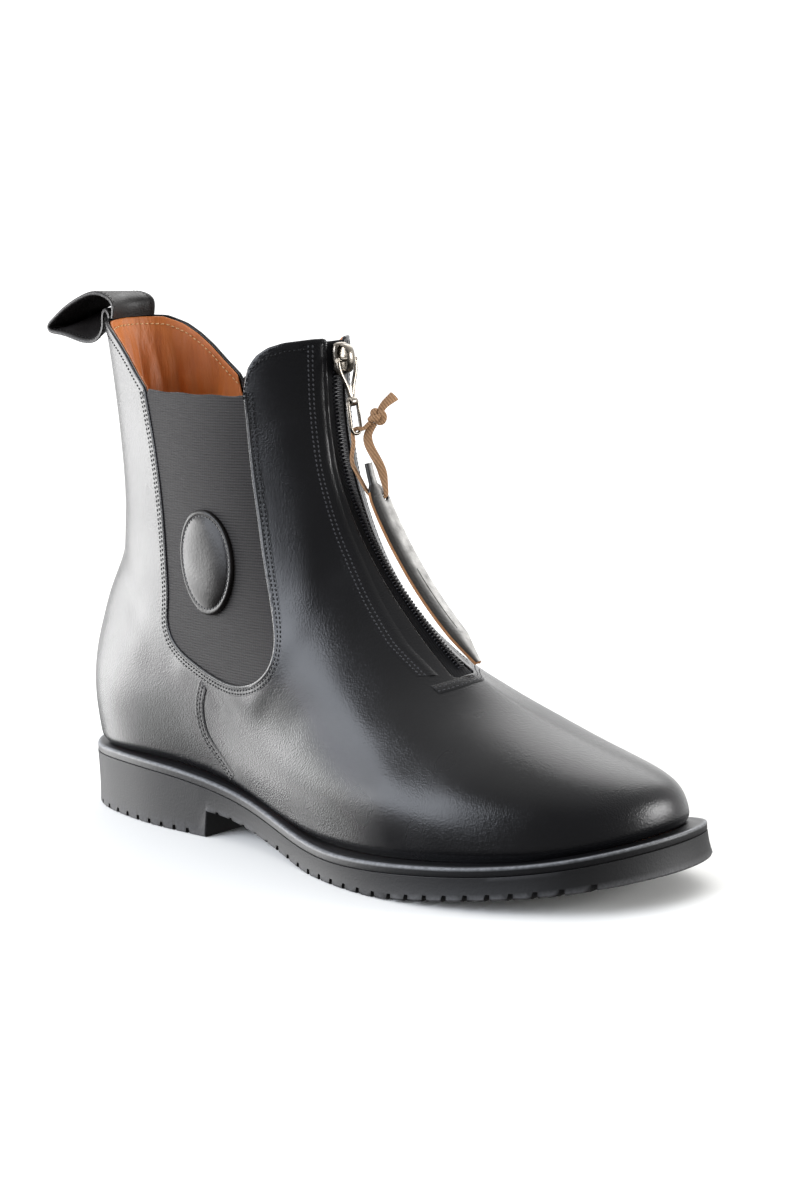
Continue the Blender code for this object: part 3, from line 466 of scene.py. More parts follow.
# Upper: sections from the feather line to the collar. Columns: level, back x, back z, front x, front y,
# front z, share of the sole's curve it follows, seven half-widths to the outer side, seven to the inner side
upperRows = np.array([
    [0.00, 5.0, 26.0, 291.0, 13.0, 25.0, 1.0, 21.5, 29.0, 31.0, 43.0, 48.6, 41.0, 24.0,
     22.0, 29.6, 26.6, 33.0, 44.0, 45.4, 39.0],
    [0.12, 3.2, 47.0, 286.5, 12.0, 39.8, 0.7, 22.5, 31.0, 34.5, 44.5, 48.0, 38.6, 20.0,
     23.0, 31.0, 31.5, 38.5, 45.0, 43.6, 35.5],
    [0.25, 5.4, 68.0, 263.0, 9.0, 51.4, 0.4, 21.0, 29.5, 35.0, 41.0, 41.5, 33.0, 17.5,
     21.5, 29.5, 34.0, 38.5, 41.5, 37.5, 26.0],
    [0.40, 14.4, 91.0, 227.0, 5.5, 64.0, 0.15, 18.0, 26.8, 34.0, 37.5, 36.5, 27.5, 15.0,
     18.0, 26.8, 34.0, 37.5, 36.5, 28.5, 16.0],
    [0.55, 24.6, 114.0, 194.0, 0.5, 84.5, 0.0, 16.3, 25.0, 32.4, 35.0, 32.6, 23.0, 12.0,
     16.3, 25.0, 32.4, 35.0, 31.0, 17.5, 5.4],
    [0.70, 28.4, 143.0, 163.5, 0.0, 116.5, 0.0, 16.0, 23.8, 30.2, 32.6, 30.4, 21.6, 12.0,
     16.0, 23.8, 30.2, 32.6, 29.8, 18.8, 7.0],
    [0.85, 26.4, 174.0, 146.0, 0.0, 158.0, 0.0, 15.6, 22.8, 28.2, 30.2, 28.6, 21.6, 12.6,
     15.6, 22.8, 28.2, 30.2, 28.4, 21.0, 11.4],
    [1.00, 21.2, 208.0, 145.5, 0.0, 205.0, 0.0, 15.6, 22.4, 26.8, 28.4, 27.6, 21.8, 13.2,
     15.6, 22.4, 26.8, 28.4, 27.6, 21.8, 13.2],
])
sectionShares = np.array([0.05, 0.15, 0.35, 0.55, 0.70, 0.85, 0.95])
soleLength = 296.0
soleTop = [(0, 25.4), (50, 26.8), (85, 25.0), (120, 19.3), (155, 13.0), (190, 12.4), (225, 14.8), (260, 18.0),
           (296, 24.4)]
waistBottom = [(92, 10.8), (104, 10.4), (130, 5.4), (158, 0.0), (206, 0.0), (232, 2.8), (262, 6.2),
               (296, 11.2)]
collarLine = np.array([
    (-60, 204.4), (0, 204.4), (22, 203.8), (30, 203.0), (38, 199.6), (44, 195.6), (50, 190.6), (56, 184.6),
    (63, 178.4), (67, 177.6), (115.4, 177.2), (117.8, 178.4), (118.4, 182.0), (119.8, 187.6), (123, 192.4),
    (127.8, 195.6), (133.4, 197.4), (141.8, 198.4), (230, 198.4)])
goreLine = smoothPath([
    (52.0, 215.0), (63.3, 177.9), (67.7, 160.9), (71.2, 143.5), (73.6, 124.1), (74.9, 106.2), (75.2, 93.0),
    (75.0, 85.0), (78.0, 79.2), (85.8, 74.2), (98.0, 69.8), (108.3, 67.2), (118.5, 66.4), (126.6, 67.9),
    (134.0, 71.9), (138.2, 77.6), (139.0, 84.2), (137.6, 90.8), (133.6, 103.2), (129.5, 115.4),
    (125.8, 128.0), (122.8, 139.6), (120.2, 153.2), (118.6, 167.8), (117.9, 177.0), (117.9, 215.0)], 260)
feather = 0.7  # the upper's lower edge stands this far over the sole


def soleTopZ(x):
    return naturalSpline(*zip(*soleTop), np.clip(x, 0.0, soleLength))


def station(share):
    return np.arccos(1.0 - 2.0 * np.asarray(share)) / math.pi


def halfLine(shares, widths, endY, along):
    knots = np.concatenate([[0.0], station(shares), [1.0]])
    return naturalSpline(knots, np.concatenate([[0.0], widths, [endY]]), along)


def upperPoint(level, along, inner):
    row = naturalSpline(upperRows[:, 0], upperRows, [level])[0]
    share = (1.0 - np.cos(math.pi * np.atleast_1d(along))) / 2.0
    x = row[1] + (row[3] - row[1]) * share
    foot = upperRows[0]
    chord = foot[2] + (foot[5] - foot[2]) * (x - foot[1]) / (foot[3] - foot[1])
    z = row[2] + (row[5] - row[2]) * share + row[6] * (soleTopZ(x) + feather - chord)
    widths = row[14:21] if inner else -row[7:14]
    return np.stack([x, halfLine(sectionShares, widths, row[4], along), z], axis=-1)


def skinGrid(levels, around):
    along = np.linspace(0.0, 1.0, around + 1)
    rings = []
    for level in np.linspace(0.0, 1.0, levels):
        outer, inner = (upperPoint(level, along, side) for side in (False, True))
        rings.append(np.concatenate([outer, inner[-2:0:-1]]))
    return np.array(rings)


def gridNormals(grid):
    along = np.roll(grid, -1, axis=1) - np.roll(grid, 1, axis=1)
    return unit(np.cross(along, np.gradient(grid, axis=0)))


def segmentDistance(points, line, closed=False):
    best = np.full(len(points), 1e9)
    ends = np.roll(line, -1, axis=0) if closed else line[1:]
    for start, end in zip(line[:len(ends)], ends):
        way = end - start
        share = np.clip(((points - start) @ way) / max(way @ way, 1e-9), 0.0, 1.0)
        best = np.minimum(best, np.linalg.norm(points - start - share[:, None] * way, axis=1))
    return best


def insideOf(points, line):
    odd = np.zeros(len(points), bool)
    for start, end in zip(line, np.roll(line, -1, axis=0)):
        rise = end[1] - start[1]
        if rise != 0.0:
            level = (start[1] > points[:, 1]) != (end[1] > points[:, 1])
            odd ^= level & (points[:, 0] < (end[0] - start[0]) * (points[:, 1] - start[1]) / rise + start[0])
    return odd


# Fields: distance in mm from a cut line, plus on the side that is cut away
def goreField(points):
    flat = points[:, [0, 2]]
    far = segmentDistance(flat, goreLine[::2], closed=True)
    return np.where(insideOf(flat, goreLine), far, -far)


def collarZ(x):
    return np.interp(x, collarLine[:, 0], collarLine[:, 1])


def collarField(points):
    flat = points[:, [0, 2]]
    far = segmentDistance(flat, collarLine)
    return np.where(flat[:, 1] > collarZ(flat[:, 0]), far, -far)


# Zip slot: half width on the inner side, and (z, half width) pairs on the outer side
zipSlot = {"half": 4.4, "endZ": 74.4, "startX": 118.0,
           "outer": [(73.0, 6.6), (80.0, 6.2), (95.0, 5.4), (115.0, 4.4), (205.0, 4.4)]}


def slotOuter(z):
    return np.interp(z, *zip(*zipSlot["outer"]))


def slotField(points):
    sides = np.minimum(points[:, 1] + slotOuter(points[:, 2]), zipSlot["half"] - points[:, 1])
    return np.minimum(np.minimum(sides, points[:, 2] - zipSlot["endZ"]), points[:, 0] - zipSlot["startX"])


# Main creases, set from the photo: start and end (x, z), half width, depth in mm
# (minus is a trough) and side
creases = [
    ((18, 121), (50, 90), 7.0, -0.45, "both"),     # pinch above the heel counter
    ((20, 131), (52, 104), 8.0, 0.25, "both"),     # roll above the pinch
    ((14, 96), (52, 74), 10.0, 0.5, "both"),       # counter swells below it
    ((84, 68), (128, 59), 5.0, 0.45, "both"),      # ridge that follows the foot of the gore
    ((132, 64), (147, 88), 5.0, 0.4, "both"),      # and its front corner
    ((103, 63), (108, 55), 2.2, -0.3, "outer"),    # gathers below the gore
    ((109, 63), (116, 54), 2.2, -0.25, "outer"),
    ((104, 51), (150, 55), 9.0, -0.35, "both"),    # hollow along the side below the ankle
    ((150, 56), (182, 66), 9.0, -0.2, "both"),
    ((120, 33), (205, 30), 10.0, 0.6, "both"),     # the side of the foot swells over the waist
    ((150, 76), (192, 42), 7.0, -0.22, "both"),    # flex folds from the zip's foot to the ball
    ((166, 74), (206, 42), 6.0, 0.22, "both"),
    ((178, 70), (222, 42), 7.0, -0.3, "both"),
    ((198, 62), (236, 44), 6.0, 0.2, "both"),
    ((146, 150), (156, 112), 5.0, -0.5, "both"),   # shaft gives beside the zip
    ((134, 160), (150, 104), 7.0, 0.45, "both"),
]


reliefLook = {"noise": ((34.0, 0.2), (12.0, 0.05)), "roll": 1.8, "rollHigh": 4.0}  # noise: size and height


def upperRelief(points):
    flat = points[:, [0, 2]]
    lift = np.zeros(len(points))
    for start, end, width, depth, side in creases:
        far = segmentDistance(flat, np.array([start, end], float))
        bite = np.exp(-(far / width) ** 2) * depth
        lift += bite * (points[:, 1] < 0.0) if side == "outer" else bite
    soft = np.array([sum(noise.noise(Vector(point / size)) * high for size, high in reliefLook["noise"])
                     for point in points])
    above = points[:, 2] - soleTopZ(points[:, 0]) - feather
    under = np.clip(1.0 - above / reliefLook["rollHigh"], 0.0, 1.0)
    return lift + soft - reliefLook["roll"] * under ** 2  # rolls under at the feather line


upperLook = {"levels": 118, "around": 118, "wall": 1.5, "liningWall": 0.9, "liningGap": 0.06}
grid = skinGrid(upperLook["levels"], upperLook["around"])
relief = upperRelief(grid.reshape(-1, 3)).reshape(grid.shape[:2])
skin = grid + gridNormals(grid) * relief[..., None]
skinPoints, skinWays = skin.reshape(-1, 3), gridNormals(skin).reshape(-1, 3)
skinFaces = gridFaces(*skin.shape[:2])
skinTree = BVHTree.FromPolygons(skinPoints.tolist(), skinFaces)
print("skin of the upper shaped:", len(skinFaces), "quads")


def hitSkin(origin, way):
    # where a ray first meets the skin, and the skin's normal turned to face the ray
    spot, normal = skinTree.ray_cast(Vector(origin), Vector(way))[:2]
    if spot is None:
        return None, None
    normal = np.array(normal)
    return np.array(spot), normal * math.copysign(1.0, -normal @ np.array(way))


def ontoSkin(origins, way):
    hits = [hitSkin(origin, way) for origin in origins]
    hits = [(spot, normal) for spot, normal in hits if spot is not None]
    return np.array([spot for spot, normal in hits]), np.array([normal for spot, normal in hits])


def onSide(flat, side):
    # places (x, z) in side view brought to the skin, from the outer (-1) or the inner (1) side
    return ontoSkin([(x, 120.0 * side, z) for x, z in flat], (0.0, -side, 0.0))


def onFront(pairs):
    # places (y, z) in front view brought to the skin
    return ontoSkin([(420.0, y, z) for y, z in pairs], (-1.0, 0.0, 0.0))


def shellPiece(name, facePoints, ways, faces, footCount, field, wall, outside, materials, **settings):
    # a wall of even thickness cut along field = 0, with a half round rim on every cut edge
    rimSides = 6
    radius = wall / 2.0
    points = facePoints + ways * outside
    value = field(points) + radius
    allPoints, allWays = list(points), list(ways)
    cut, kept, rim = {}, [], []
    for face in faces:
        if min(value[i] for i in face) > 0.0:
            continue
        poly, ends = [], []
        for k, i in enumerate(face):
            low, high = sorted((i, face[(k + 1) % len(face)]))
            if value[i] <= 0.0:
                poly.append(i)
            if (value[low] <= 0.0) != (value[high] <= 0.0):
                if (low, high) not in cut:
                    share = value[low] / (value[low] - value[high])
                    cut[(low, high)] = len(allPoints)
                    allPoints.append(points[low] + (points[high] - points[low]) * share)
                    allWays.append(unit(ways[low] + (ways[high] - ways[low]) * share))
                poly.append(cut[(low, high)])
                ends.append(cut[(low, high)])
        kept.append(tuple(poly))
        if len(ends) == 2:
            rim.append(tuple(ends))
    used = sorted({i for face in kept for i in face})
    number = {old: new for new, old in enumerate(used)}
    outer = np.array([allPoints[i] for i in used])
    way = np.array([allWays[i] for i in used])
    count = len(outer)
    solidPoints = [outer, outer - way * wall]
    solidFaces = [tuple(number[i] for i in face) for face in kept]
    solidFaces += [tuple(i + count for i in face)[::-1] for face in solidFaces]
    rimIds = sorted({number[i] for ends in rim for i in ends})
    rimNumber = {old: new for new, old in enumerate(rimIds)}
    spots, up = outer[rimIds], way[rimIds]
    # the field's slope, read 0.3 mm to each side
    slope = np.stack([field(spots + step) - field(spots - step) for step in np.eye(3) * 0.3], 1)
    slope = unit(slope - up * (slope * up).sum(axis=1)[:, None])
    for k in range(1, rimSides):
        angle = math.pi * k / rimSides
        beyond = spots + slope * (radius * math.sin(angle))
        solidPoints.append(beyond - up * (radius * (1.0 - math.cos(angle))))
    for ends in rim:
        chain = [[number[i] for i in ends]]
        for k in range(rimSides - 1):
            chain.append([2 * count + k * len(rimIds) + rimNumber[number[i]] for i in ends])
        chain.append([number[i] + count for i in ends])
        for (start, end), (startBelow, endBelow) in zip(chain[:-1], chain[1:]):
            solidFaces.append((start, end, endBelow, startBelow))
    for k in range(footCount):
        beside = (k + 1) % footCount
        if k in number and beside in number:
            solidFaces.append((number[k], number[beside], number[beside] + count, number[k] + count))
    return makePiece(name, np.concatenate(solidPoints), solidFaces, materials, **settings)


def upperField(points):
    return np.maximum.reduce([collarField(points), goreField(points), slotField(points)])


shellPiece("upperLeather", skinPoints, skinWays, skinFaces, skin.shape[1], upperField, upperLook["wall"], 0.0,
           [calf], body="boot", nodes=["upper"], slot="black_leather")

# Lining: follows the leather, with upright wrinkles in the shaft that fade to the foot and the collar's edge
liningLook = {"levels": 72, "around": 84, "middleX": 85.0, "ripple": 1.1, "aboveZ": 90.0, "aboveFade": 40.0,
              "edge": 4.0, "edgeFade": 14.0, "clear": 0.3, "collarIn": 0.5, "goreIn": 1.2, "slotIn": 1.5}
liningGrid = skinGrid(liningLook["levels"], liningLook["around"])
flatGrid = liningGrid.reshape(-1, 3)
around = np.arctan2(flatGrid[:, 1], flatGrid[:, 0] - liningLook["middleX"])
ripple = np.sin(around * 31.0 + flatGrid[:, 2] * 0.05) * np.sin(around * 13.0 - flatGrid[:, 2] * 0.09)
ripple = (ripple - 1.0) * liningLook["ripple"]
ripple = ripple * np.clip((flatGrid[:, 2] - liningLook["aboveZ"]) / liningLook["aboveFade"], 0.0, 1.0)
ripple = ripple * np.clip((-collarField(flatGrid) - liningLook["edge"]) / liningLook["edgeFade"], 0.0, 1.0)
liningLift = np.minimum(upperRelief(flatGrid), liningLook["clear"]) + ripple - liningLook["clear"]
liningPoints = flatGrid + gridNormals(liningGrid).reshape(-1, 3) * liningLift[:, None]
liningWays = gridNormals(liningPoints.reshape(liningGrid.shape)).reshape(-1, 3)


def liningField(points):
    return np.maximum.reduce([collarField(points) + liningLook["collarIn"],
                              goreField(points) + liningLook["goreIn"],
                              slotField(points) + liningLook["slotIn"]])


shellPiece("upperLining", liningPoints, liningWays, gridFaces(*liningGrid.shape[:2]), liningGrid.shape[1],
           liningField, upperLook["liningWall"], -upperLook["wall"] - upperLook["liningGap"], [lining],
           body="boot", slot="tan_leather")
print("upper and lining cut")

# Gores: taut elastic a little below the leather's face, tucked under its edge
goreLook = {"levels": 80, "around": 90, "wall": 1.4, "setBack": 0.6, "tuck": 1.2, "wave": 0.2,
            "waveRate": 0.35, "leastY": 12.0}
goreGrid = skinGrid(goreLook["levels"], goreLook["around"])
goreWays = gridNormals(goreGrid).reshape(-1, 3)


def goreCut(side):
    def field(points):
        wave = goreLook["wave"] * np.sin(points[:, 0] * goreLook["waveRate"])  # a slightly wavy top edge
        return np.maximum.reduce([collarField(points) + wave, -goreLook["tuck"] - goreField(points),
                                  goreLook["leastY"] - points[:, 1] * side])
    return field


for goreName, goreNode, side in (("goreOuter", "gore_outer", -1.0), ("goreInner", "gore_inner", 1.0)):
    shellPiece(goreName, goreGrid.reshape(-1, 3), goreWays, gridFaces(*goreGrid.shape[:2]), 0, goreCut(side),
               goreLook["wall"], -goreLook["setBack"], [goreElastic], body="boot", nodes=[goreNode],
               slot="gore_elastic")
print("gores set in")

seamLook = {"pitch": 1.8, "long": 1.35, "wide": 0.66, "high": 0.4, "lift": 0.1, "dip": 0.22, "slant": 6.0}
beadShape = ((-1.0, 0.15), (-0.6, 0.85), (0.0, 1.0), (0.6, 0.85), (1.0, 0.15))  # shares of length and width


# Stitching: small slanted beads of thread, all of one seam in one mesh
def stitches(rows, look):
    lean = math.radians(look["slant"])
    turns = np.arange(6) * math.pi / 3.0
    lofts = []
    for spots, ways in rows:
        run = arcLength(spots)
        count = int(run[-1] / look["pitch"])
        middle = (np.arange(count) + 0.5) * run[-1] / count
        place = readAlong(middle, run, spots)
        up = unit(readAlong(middle, run, ways))
        straight = unit(readAlong(middle, run, unit(np.gradient(spots, axis=0))))
        square = unit(np.cross(up, straight))
        along = straight * math.cos(lean) + square * math.sin(lean)
        across = square * math.cos(lean) - straight * math.sin(lean)
        for k in range(count):
            rings = []
            for share, size in beadShape:
                lift = look["lift"] - look["dip"] * share * share
                ring = place[k] + along[k] * (share * look["long"] / 2.0) + up[k] * lift
                ring = ring + np.outer(np.cos(turns) * size * look["wide"] / 2.0, across[k])
                rings.append(ring + np.outer(np.sin(turns) * size * look["wide"] * look["high"], up[k]))
            lofts.append(loft(rings))
    return joinLofts(lofts)


bandLook = {"deep": 0.7, "sunk": 0.6}


# Bands: skived and turned edges that swell between their rows of stitches
def band(lines, heights, fade=0):
    # lines: (spots, ways) for each column across the band
    # fade: places at the start over which the band rises out of the skin
    sections = []
    for i in range(min(len(spots) for spots, ways in lines)):
        sunk = bandLook["sunk"] * max(0.0, 1.0 - i / fade) if fade else 0.0
        top = [spots[i] + ways[i] * (high - sunk) for (spots, ways), high in zip(lines, heights)]
        low = [spots[i] - ways[i] * bandLook["deep"] for spots, ways in lines]
        sections.append(np.array(top + low[::-1]))
    return loft(sections)


def offsetFlat(line, distance):
    run = unit(np.gradient(line, axis=0))
    return line + np.stack([run[:, 1], -run[:, 0]], axis=1) * distance


# Gore edges: offsets from the gore's line and heights over the skin, stitched in the two dips
goreOffsets = (0.7, 1.1, 1.6, 2.2, 2.9, 3.6, 4.3, 5.2)
goreHeights = (-0.3, 0.16, 0.14, -0.1, 0.16, -0.1, 0.06, -0.3)
goreRun = evenly(goreLine, 1.3)
probe = offsetFlat(goreRun, 1.0)[60]
outWay = 1.0 if goreField(np.array([[probe[0], 0.0, probe[1]]]))[0] < 0 else -1.0
belowCollar = goreRun[:, 1] < collarZ(goreRun[:, 0]) + 1.5
goreBands, goreRows = [], []
for side in (-1.0, 1.0):
    columns = [onSide(offsetFlat(goreRun, offset * outWay)[belowCollar], side) for offset in goreOffsets]
    under = np.logical_and.reduce([spots[:, 2] < collarZ(spots[:, 0]) - 0.6 for spots, ways in columns])
    columns = [(spots[under], ways[under]) for spots, ways in columns]
    goreBands.append(band(columns, goreHeights))
    goreRows += [columns[3], columns[5]]
makePiece("goreEdgeFold", *joinLofts(goreBands), [calf], "boot", slot="black_leather")
makePiece("goreStitching", *stitches(goreRows, seamLook), [blackThread], "boot")

# Side seam: the front panel laps over the back one, two rows of stitches along its edge
seamCurve = smoothPath([(97.4, 66.4), (94.6, 62.4), (93.0, 58.8), (91.9, 54.6), (91.7, 50.8), (93.2, 42.4),
                        (98.0, 35.4), (104.3, 29.0), (107.0, 25.6)], 60)
lapOffsets = (-0.25, -0.05, 0.0, 0.5, 1.1, 1.8, 2.6, 3.4, 4.8, 6.4)
lapHeights = (-0.3, 0.05, 0.34, 0.44, 0.22, 0.42, 0.18, 0.32, 0.14, -0.3)
lapFade = 3
lapBands, lapRows = [], []
for side in (-1.0, 1.0):
    columns = [onSide(offsetFlat(seamCurve, -offset), side) for offset in lapOffsets]
    lapBands.append(band(columns, lapHeights, lapFade))
    for k in (4, 6):
        spots, ways = columns[k]
        lapRows.append(((spots + ways * lapHeights[k])[lapFade:], ways[lapFade:]))
makePiece("sideSeamLap", *joinLofts(lapBands), [calf], "boot", slot="black_leather")
makePiece("sideSeamStitching", *stitches(lapRows, seamLook), [blackThread], "boot")

# Zip edges: two rows of stitches beside the slot and a bar across its foot
zipHeights = np.linspace(75.0, 196.5, 90)
zipRowY = np.interp(zipHeights, [71.0, 78.0, 85.6, 95.0, 104.0, 115.0, 135.8, 167.6, 197.0],
                    [13.8, 14.4, 15.0, 13.9, 12.8, 11.4, 10.6, 10.0, 10.0])
zipOffsets = (-4.2, -3.2, -2.2, -1.2, 0.0, 0.65, 1.3, 2.2, 3.6)
zipLifts = (-0.25, 0.15, 0.3, 0.3, 0.02, 0.2, 0.02, 0.12, -0.25)
zipBands, zipRows = [], []
for side in (-1.0, 1.0):
    columns = [onFront(np.stack([side * (zipRowY + offset), zipHeights], axis=1)) for offset in zipOffsets]
    zipBands.append(band(columns, zipLifts))
    zipRows += [columns[4], columns[6]]
barY = np.linspace(-15.5, 15.5, 32)
barZ = np.interp(barY, [-15.5, -9.4, -2.7, 8.9, 15.5], [70.6, 71.7, 72.7, 73.2, 72.8])
barDrops = np.array((-2.6, -1.8, -0.9, 0.0, 0.9, 1.8, 2.6)) * 0.6
barLifts = (-0.25, 0.3, 0.1, 0.45, 0.1, 0.3, -0.25)
columns = [onFront(np.stack([barY, barZ + drop], axis=1)) for drop in barDrops]
zipBands.append(band(columns, barLifts))
zipRows += [columns[2], columns[4]]
makePiece("zipEdgeFold", *joinLofts(zipBands), [calf], "boot", slot="black_leather")
makePiece("zipStitching", *stitches(zipRows, {**seamLook, "lift": 0.12}), [greyThread], "boot")

# Topline: a row of stitches under the edge of the back and of the two front corners
toplineLook = {"middleX": 85.0, "reach": 150.0, "startZ": 198.0, "leastZ": 178.5, "tries": 6}


def toplineRow(below, degrees):
    # a line on the skin that stays below the collar's edge, found from outside at each angle round the shaft
    spots, ways = [], []
    for angle in np.radians(degrees):
        outward = np.array([math.cos(angle), math.sin(angle), 0.0])
        z = toplineLook["startZ"]
        for attempt in range(toplineLook["tries"]):
            origin = np.array([toplineLook["middleX"], 0.0, z]) + outward * toplineLook["reach"]
            spot, way = hitSkin(origin, -outward)
            z = float(collarZ(spot[0])) - below
        if spot[2] > toplineLook["leastZ"] - below:
            spots.append(spot)
            ways.append(way)
    return np.array(spots), np.array(ways)


topRows = [toplineRow(3.8, np.linspace(112.0, 248.0, 120)), toplineRow(3.4, np.linspace(12.0, 40.0, 40)),
           toplineRow(3.4, np.linspace(-12.0, -40.0, 40))]
makePiece("toplineStitching", *stitches(topRows, seamLook), [blackThread], "boot")
spots, ways = toplineRow(4.0, np.linspace(118.0, 242.0, 120))
liningRow = (spots - ways * (upperLook["wall"] + upperLook["liningWall"] + 0.65), -ways)
liningSeam = {**seamLook, "pitch": 2.2, "long": 1.6, "wide": 0.55}
makePiece("liningStitching", *stitches([liningRow], liningSeam), [paleThread], "boot", slot="tan_leather")
print("seams stitched")

# Badge: a plain domed oval of leather with a sewn edge
badgeLook = {"x": 101.4, "z": 112.4, "long": 20.6, "wide": 15.0, "tilt": 11.0, "seam": 0.885, "seamLift": 1.2}
badgeRings = (1.0, 1.0, 0.985, 0.95, 0.91, 0.885, 0.86, 0.82, 0.7, 0.5, 0.28, 0.1)
badgeLifts = (-0.5, 0.8, 1.2, 1.35, 1.25, 1.1, 1.3, 1.55, 1.95, 2.25, 2.35, 2.35)
badgeTilt = math.radians(badgeLook["tilt"])
badgeTurns = np.linspace(0.0, 2.0 * math.pi, 73)[:-1]


def badgeRing(share):
    along = badgeLook["long"] * share * np.cos(badgeTurns)
    across = badgeLook["wide"] * share * np.sin(badgeTurns)
    flat = np.stack([badgeLook["x"] + across * math.cos(badgeTilt) - along * math.sin(badgeTilt),
                     badgeLook["z"] + along * math.cos(badgeTilt) + across * math.sin(badgeTilt)], axis=1)
    return onSide(flat, -1.0)


badgeSections = []
for share, lift in zip(badgeRings, badgeLifts):
    spots, ways = badgeRing(share)
    badgeSections.append(spots + ways * lift)
makePiece("badge", *loft(badgeSections), [badgeCalf], "boot", ["badge"], "black_leather")
badgeSeam = tuple(np.concatenate([values, values[:1]]) for values in badgeRing(badgeLook["seam"]))
badgeStitches = stitches([badgeSeam], {**seamLook, "lift": badgeLook["seamLift"]})
makePiece("badgeStitching", *badgeStitches, [greyThread], "boot")

# Zip: woven tape and two rows of moulded teeth
tapeLook = {"foot": 74.0, "top": 197.0, "spare": 0.4, "face": 1.0, "back": 1.9}
tapeSections = []
for z in np.linspace(tapeLook["foot"], tapeLook["top"], 80):
    tapeY = np.linspace(-float(slotOuter(z)) - tapeLook["spare"], zipSlot["half"] + tapeLook["spare"], 9)
    spots, ways = onFront([(y, z) for y in tapeY])
    tapeBack = (spots - ways * tapeLook["back"])[::-1]
    tapeSections.append(np.concatenate([spots - ways * tapeLook["face"], tapeBack]))
makePiece("zipTape", *loft(tapeSections), [zipCloth], "boot", ["zip_tape"], "zip_cloth")
toothLook = {"pitch": 1.5, "across": 1.9, "along": 0.95, "high": 0.9, "sunk": 0.6}
toothShape = ((-0.35, 0.7), (-0.25, 1.0), (0.7, 1.0), (0.95, 0.8), (1.0, 0.45))  # shares of reach and size
toothCorners = ((-1, -1), (-0.45, 1), (0.45, 1), (1, -1))
toothLine, toothWays = onFront([(0.0, z) for z in np.linspace(77.0, 196.0, 200)])
toothRun = arcLength(toothLine)
toothSpots = np.arange(0.0, toothRun[-1], toothLook["pitch"] / 2.0)
toothUps = unit(unit(readAlong(toothSpots, toothRun, toothWays)) * np.array([1.0, 0.0, 1.0]))
lofts = []
for k, place in enumerate(readAlong(toothSpots, toothRun, toothLine)):
    up = toothUps[k]
    across = np.array([0.0, 1.0 if k % 2 else -1.0, 0.0])
    along = np.cross(up, across)
    rings = []
    for share, size in toothShape:
        middle = place - up * toothLook["sunk"] + across * (share * toothLook["across"])
        halfAlong, halfHigh = along * (size * toothLook["along"] / 2.0), up * (size * toothLook["high"] / 2.0)
        rings.append(np.array([middle + halfAlong * side + halfHigh * high for side, high in toothCorners]))
    lofts.append(loft(rings))
makePiece("zipTeeth", *joinLofts(lofts), [zipTeeth], "boot", ["zip_chain"], "zip_plastic", sharp=35.0)

# Slider: a shield plate with its sides bent back under an arched bridge. Plate layers: depth and
# share of the size. Bridge places: out from the plate's back, up from the slider's middle
sliderLook = {"z": 190.0, "lift": 0.9, "middle": 0.3, "halfHigh": 6.3, "square": 0.55, "bend": 0.35,
              "halfWide": ([-6.0, -1.0, 6.6], [3.4, 3.6, 4.2]), "bridgeThick": 0.72}
plateLayers = ((0.0, 0.93), (0.35, 1.0), (1.5, 1.0), (2.0, 0.94), (2.2, 0.84))
bridgePlaces = ((1.2, 5.3), (4.6, 5.0), (5.9, 3.0), (6.0, -1.2), (5.0, -3.9), (1.2, -4.4))
sliderZ = sliderLook["z"]
sliderX = float(onFront([(0.0, sliderZ)])[0][0][0]) + sliderLook["lift"]
rings = []
for depth, size in plateLayers:
    outline = []
    for angle in 2.0 * math.pi * np.arange(32) / 32.0:
        ways = (math.cos(angle), math.sin(angle))
        up, side = (math.copysign(abs(way) ** sliderLook["square"], way) for way in ways)
        z = sliderLook["middle"] + up * sliderLook["halfHigh"] * size
        halfWide = np.interp(z, *sliderLook["halfWide"]) * size
        outline.append((sliderX + depth - sliderLook["bend"] * side * side, side * halfWide, sliderZ + z))
    rings.append(np.array(outline))
bridge = smoothPath([(sliderX + out, 0, sliderZ + up) for out, up in bridgePlaces], 28)
bridgeWide = np.interp(np.arange(28), [0, 8, 20, 27], [1.7, 2.1, 1.9, 1.5])
sliderForms = [loft(rings), tubeAlong(bridge, bridgeWide, sliderLook["bridgeThick"], 14)]
makePiece("zipSlider", *joinLofts(sliderForms), [nickel], "boot", ["zip_slider"], "nickel")

# Pull: pin, two arms that run together and a knuckle, leaning a little off the boot
pullLook = {"pinX": 103.3 + originX, "pinZ": 190.0, "lean": math.radians(8.0), "pinHalf": 5.3, "pin": 0.8,
            "armThick": 0.7, "stemThick": 0.62, "knuckleDrop": 16.0, "knuckleHalf": 1.5, "bore": 0.9}
armPlaces = ((4.4, -0.9), (4.5, 1.5), (3.9, 5.0), (2.3, 8.6), (1.3, 11.2), (0.9, 13.4))  # sideways, down


def hang(outward, y, drop):
    lean = pullLook["lean"]
    return np.array([pullLook["pinX"] + outward * math.cos(lean) + drop * math.sin(lean), y,
                     pullLook["pinZ"] + outward * math.sin(lean) - drop * math.cos(lean)])


def knuckleRing(size, y):
    turns = np.arange(16) * math.pi / 8
    return np.array([hang(size * math.cos(angle), y, pullLook["knuckleDrop"] + size * math.sin(angle))
                     for angle in turns])


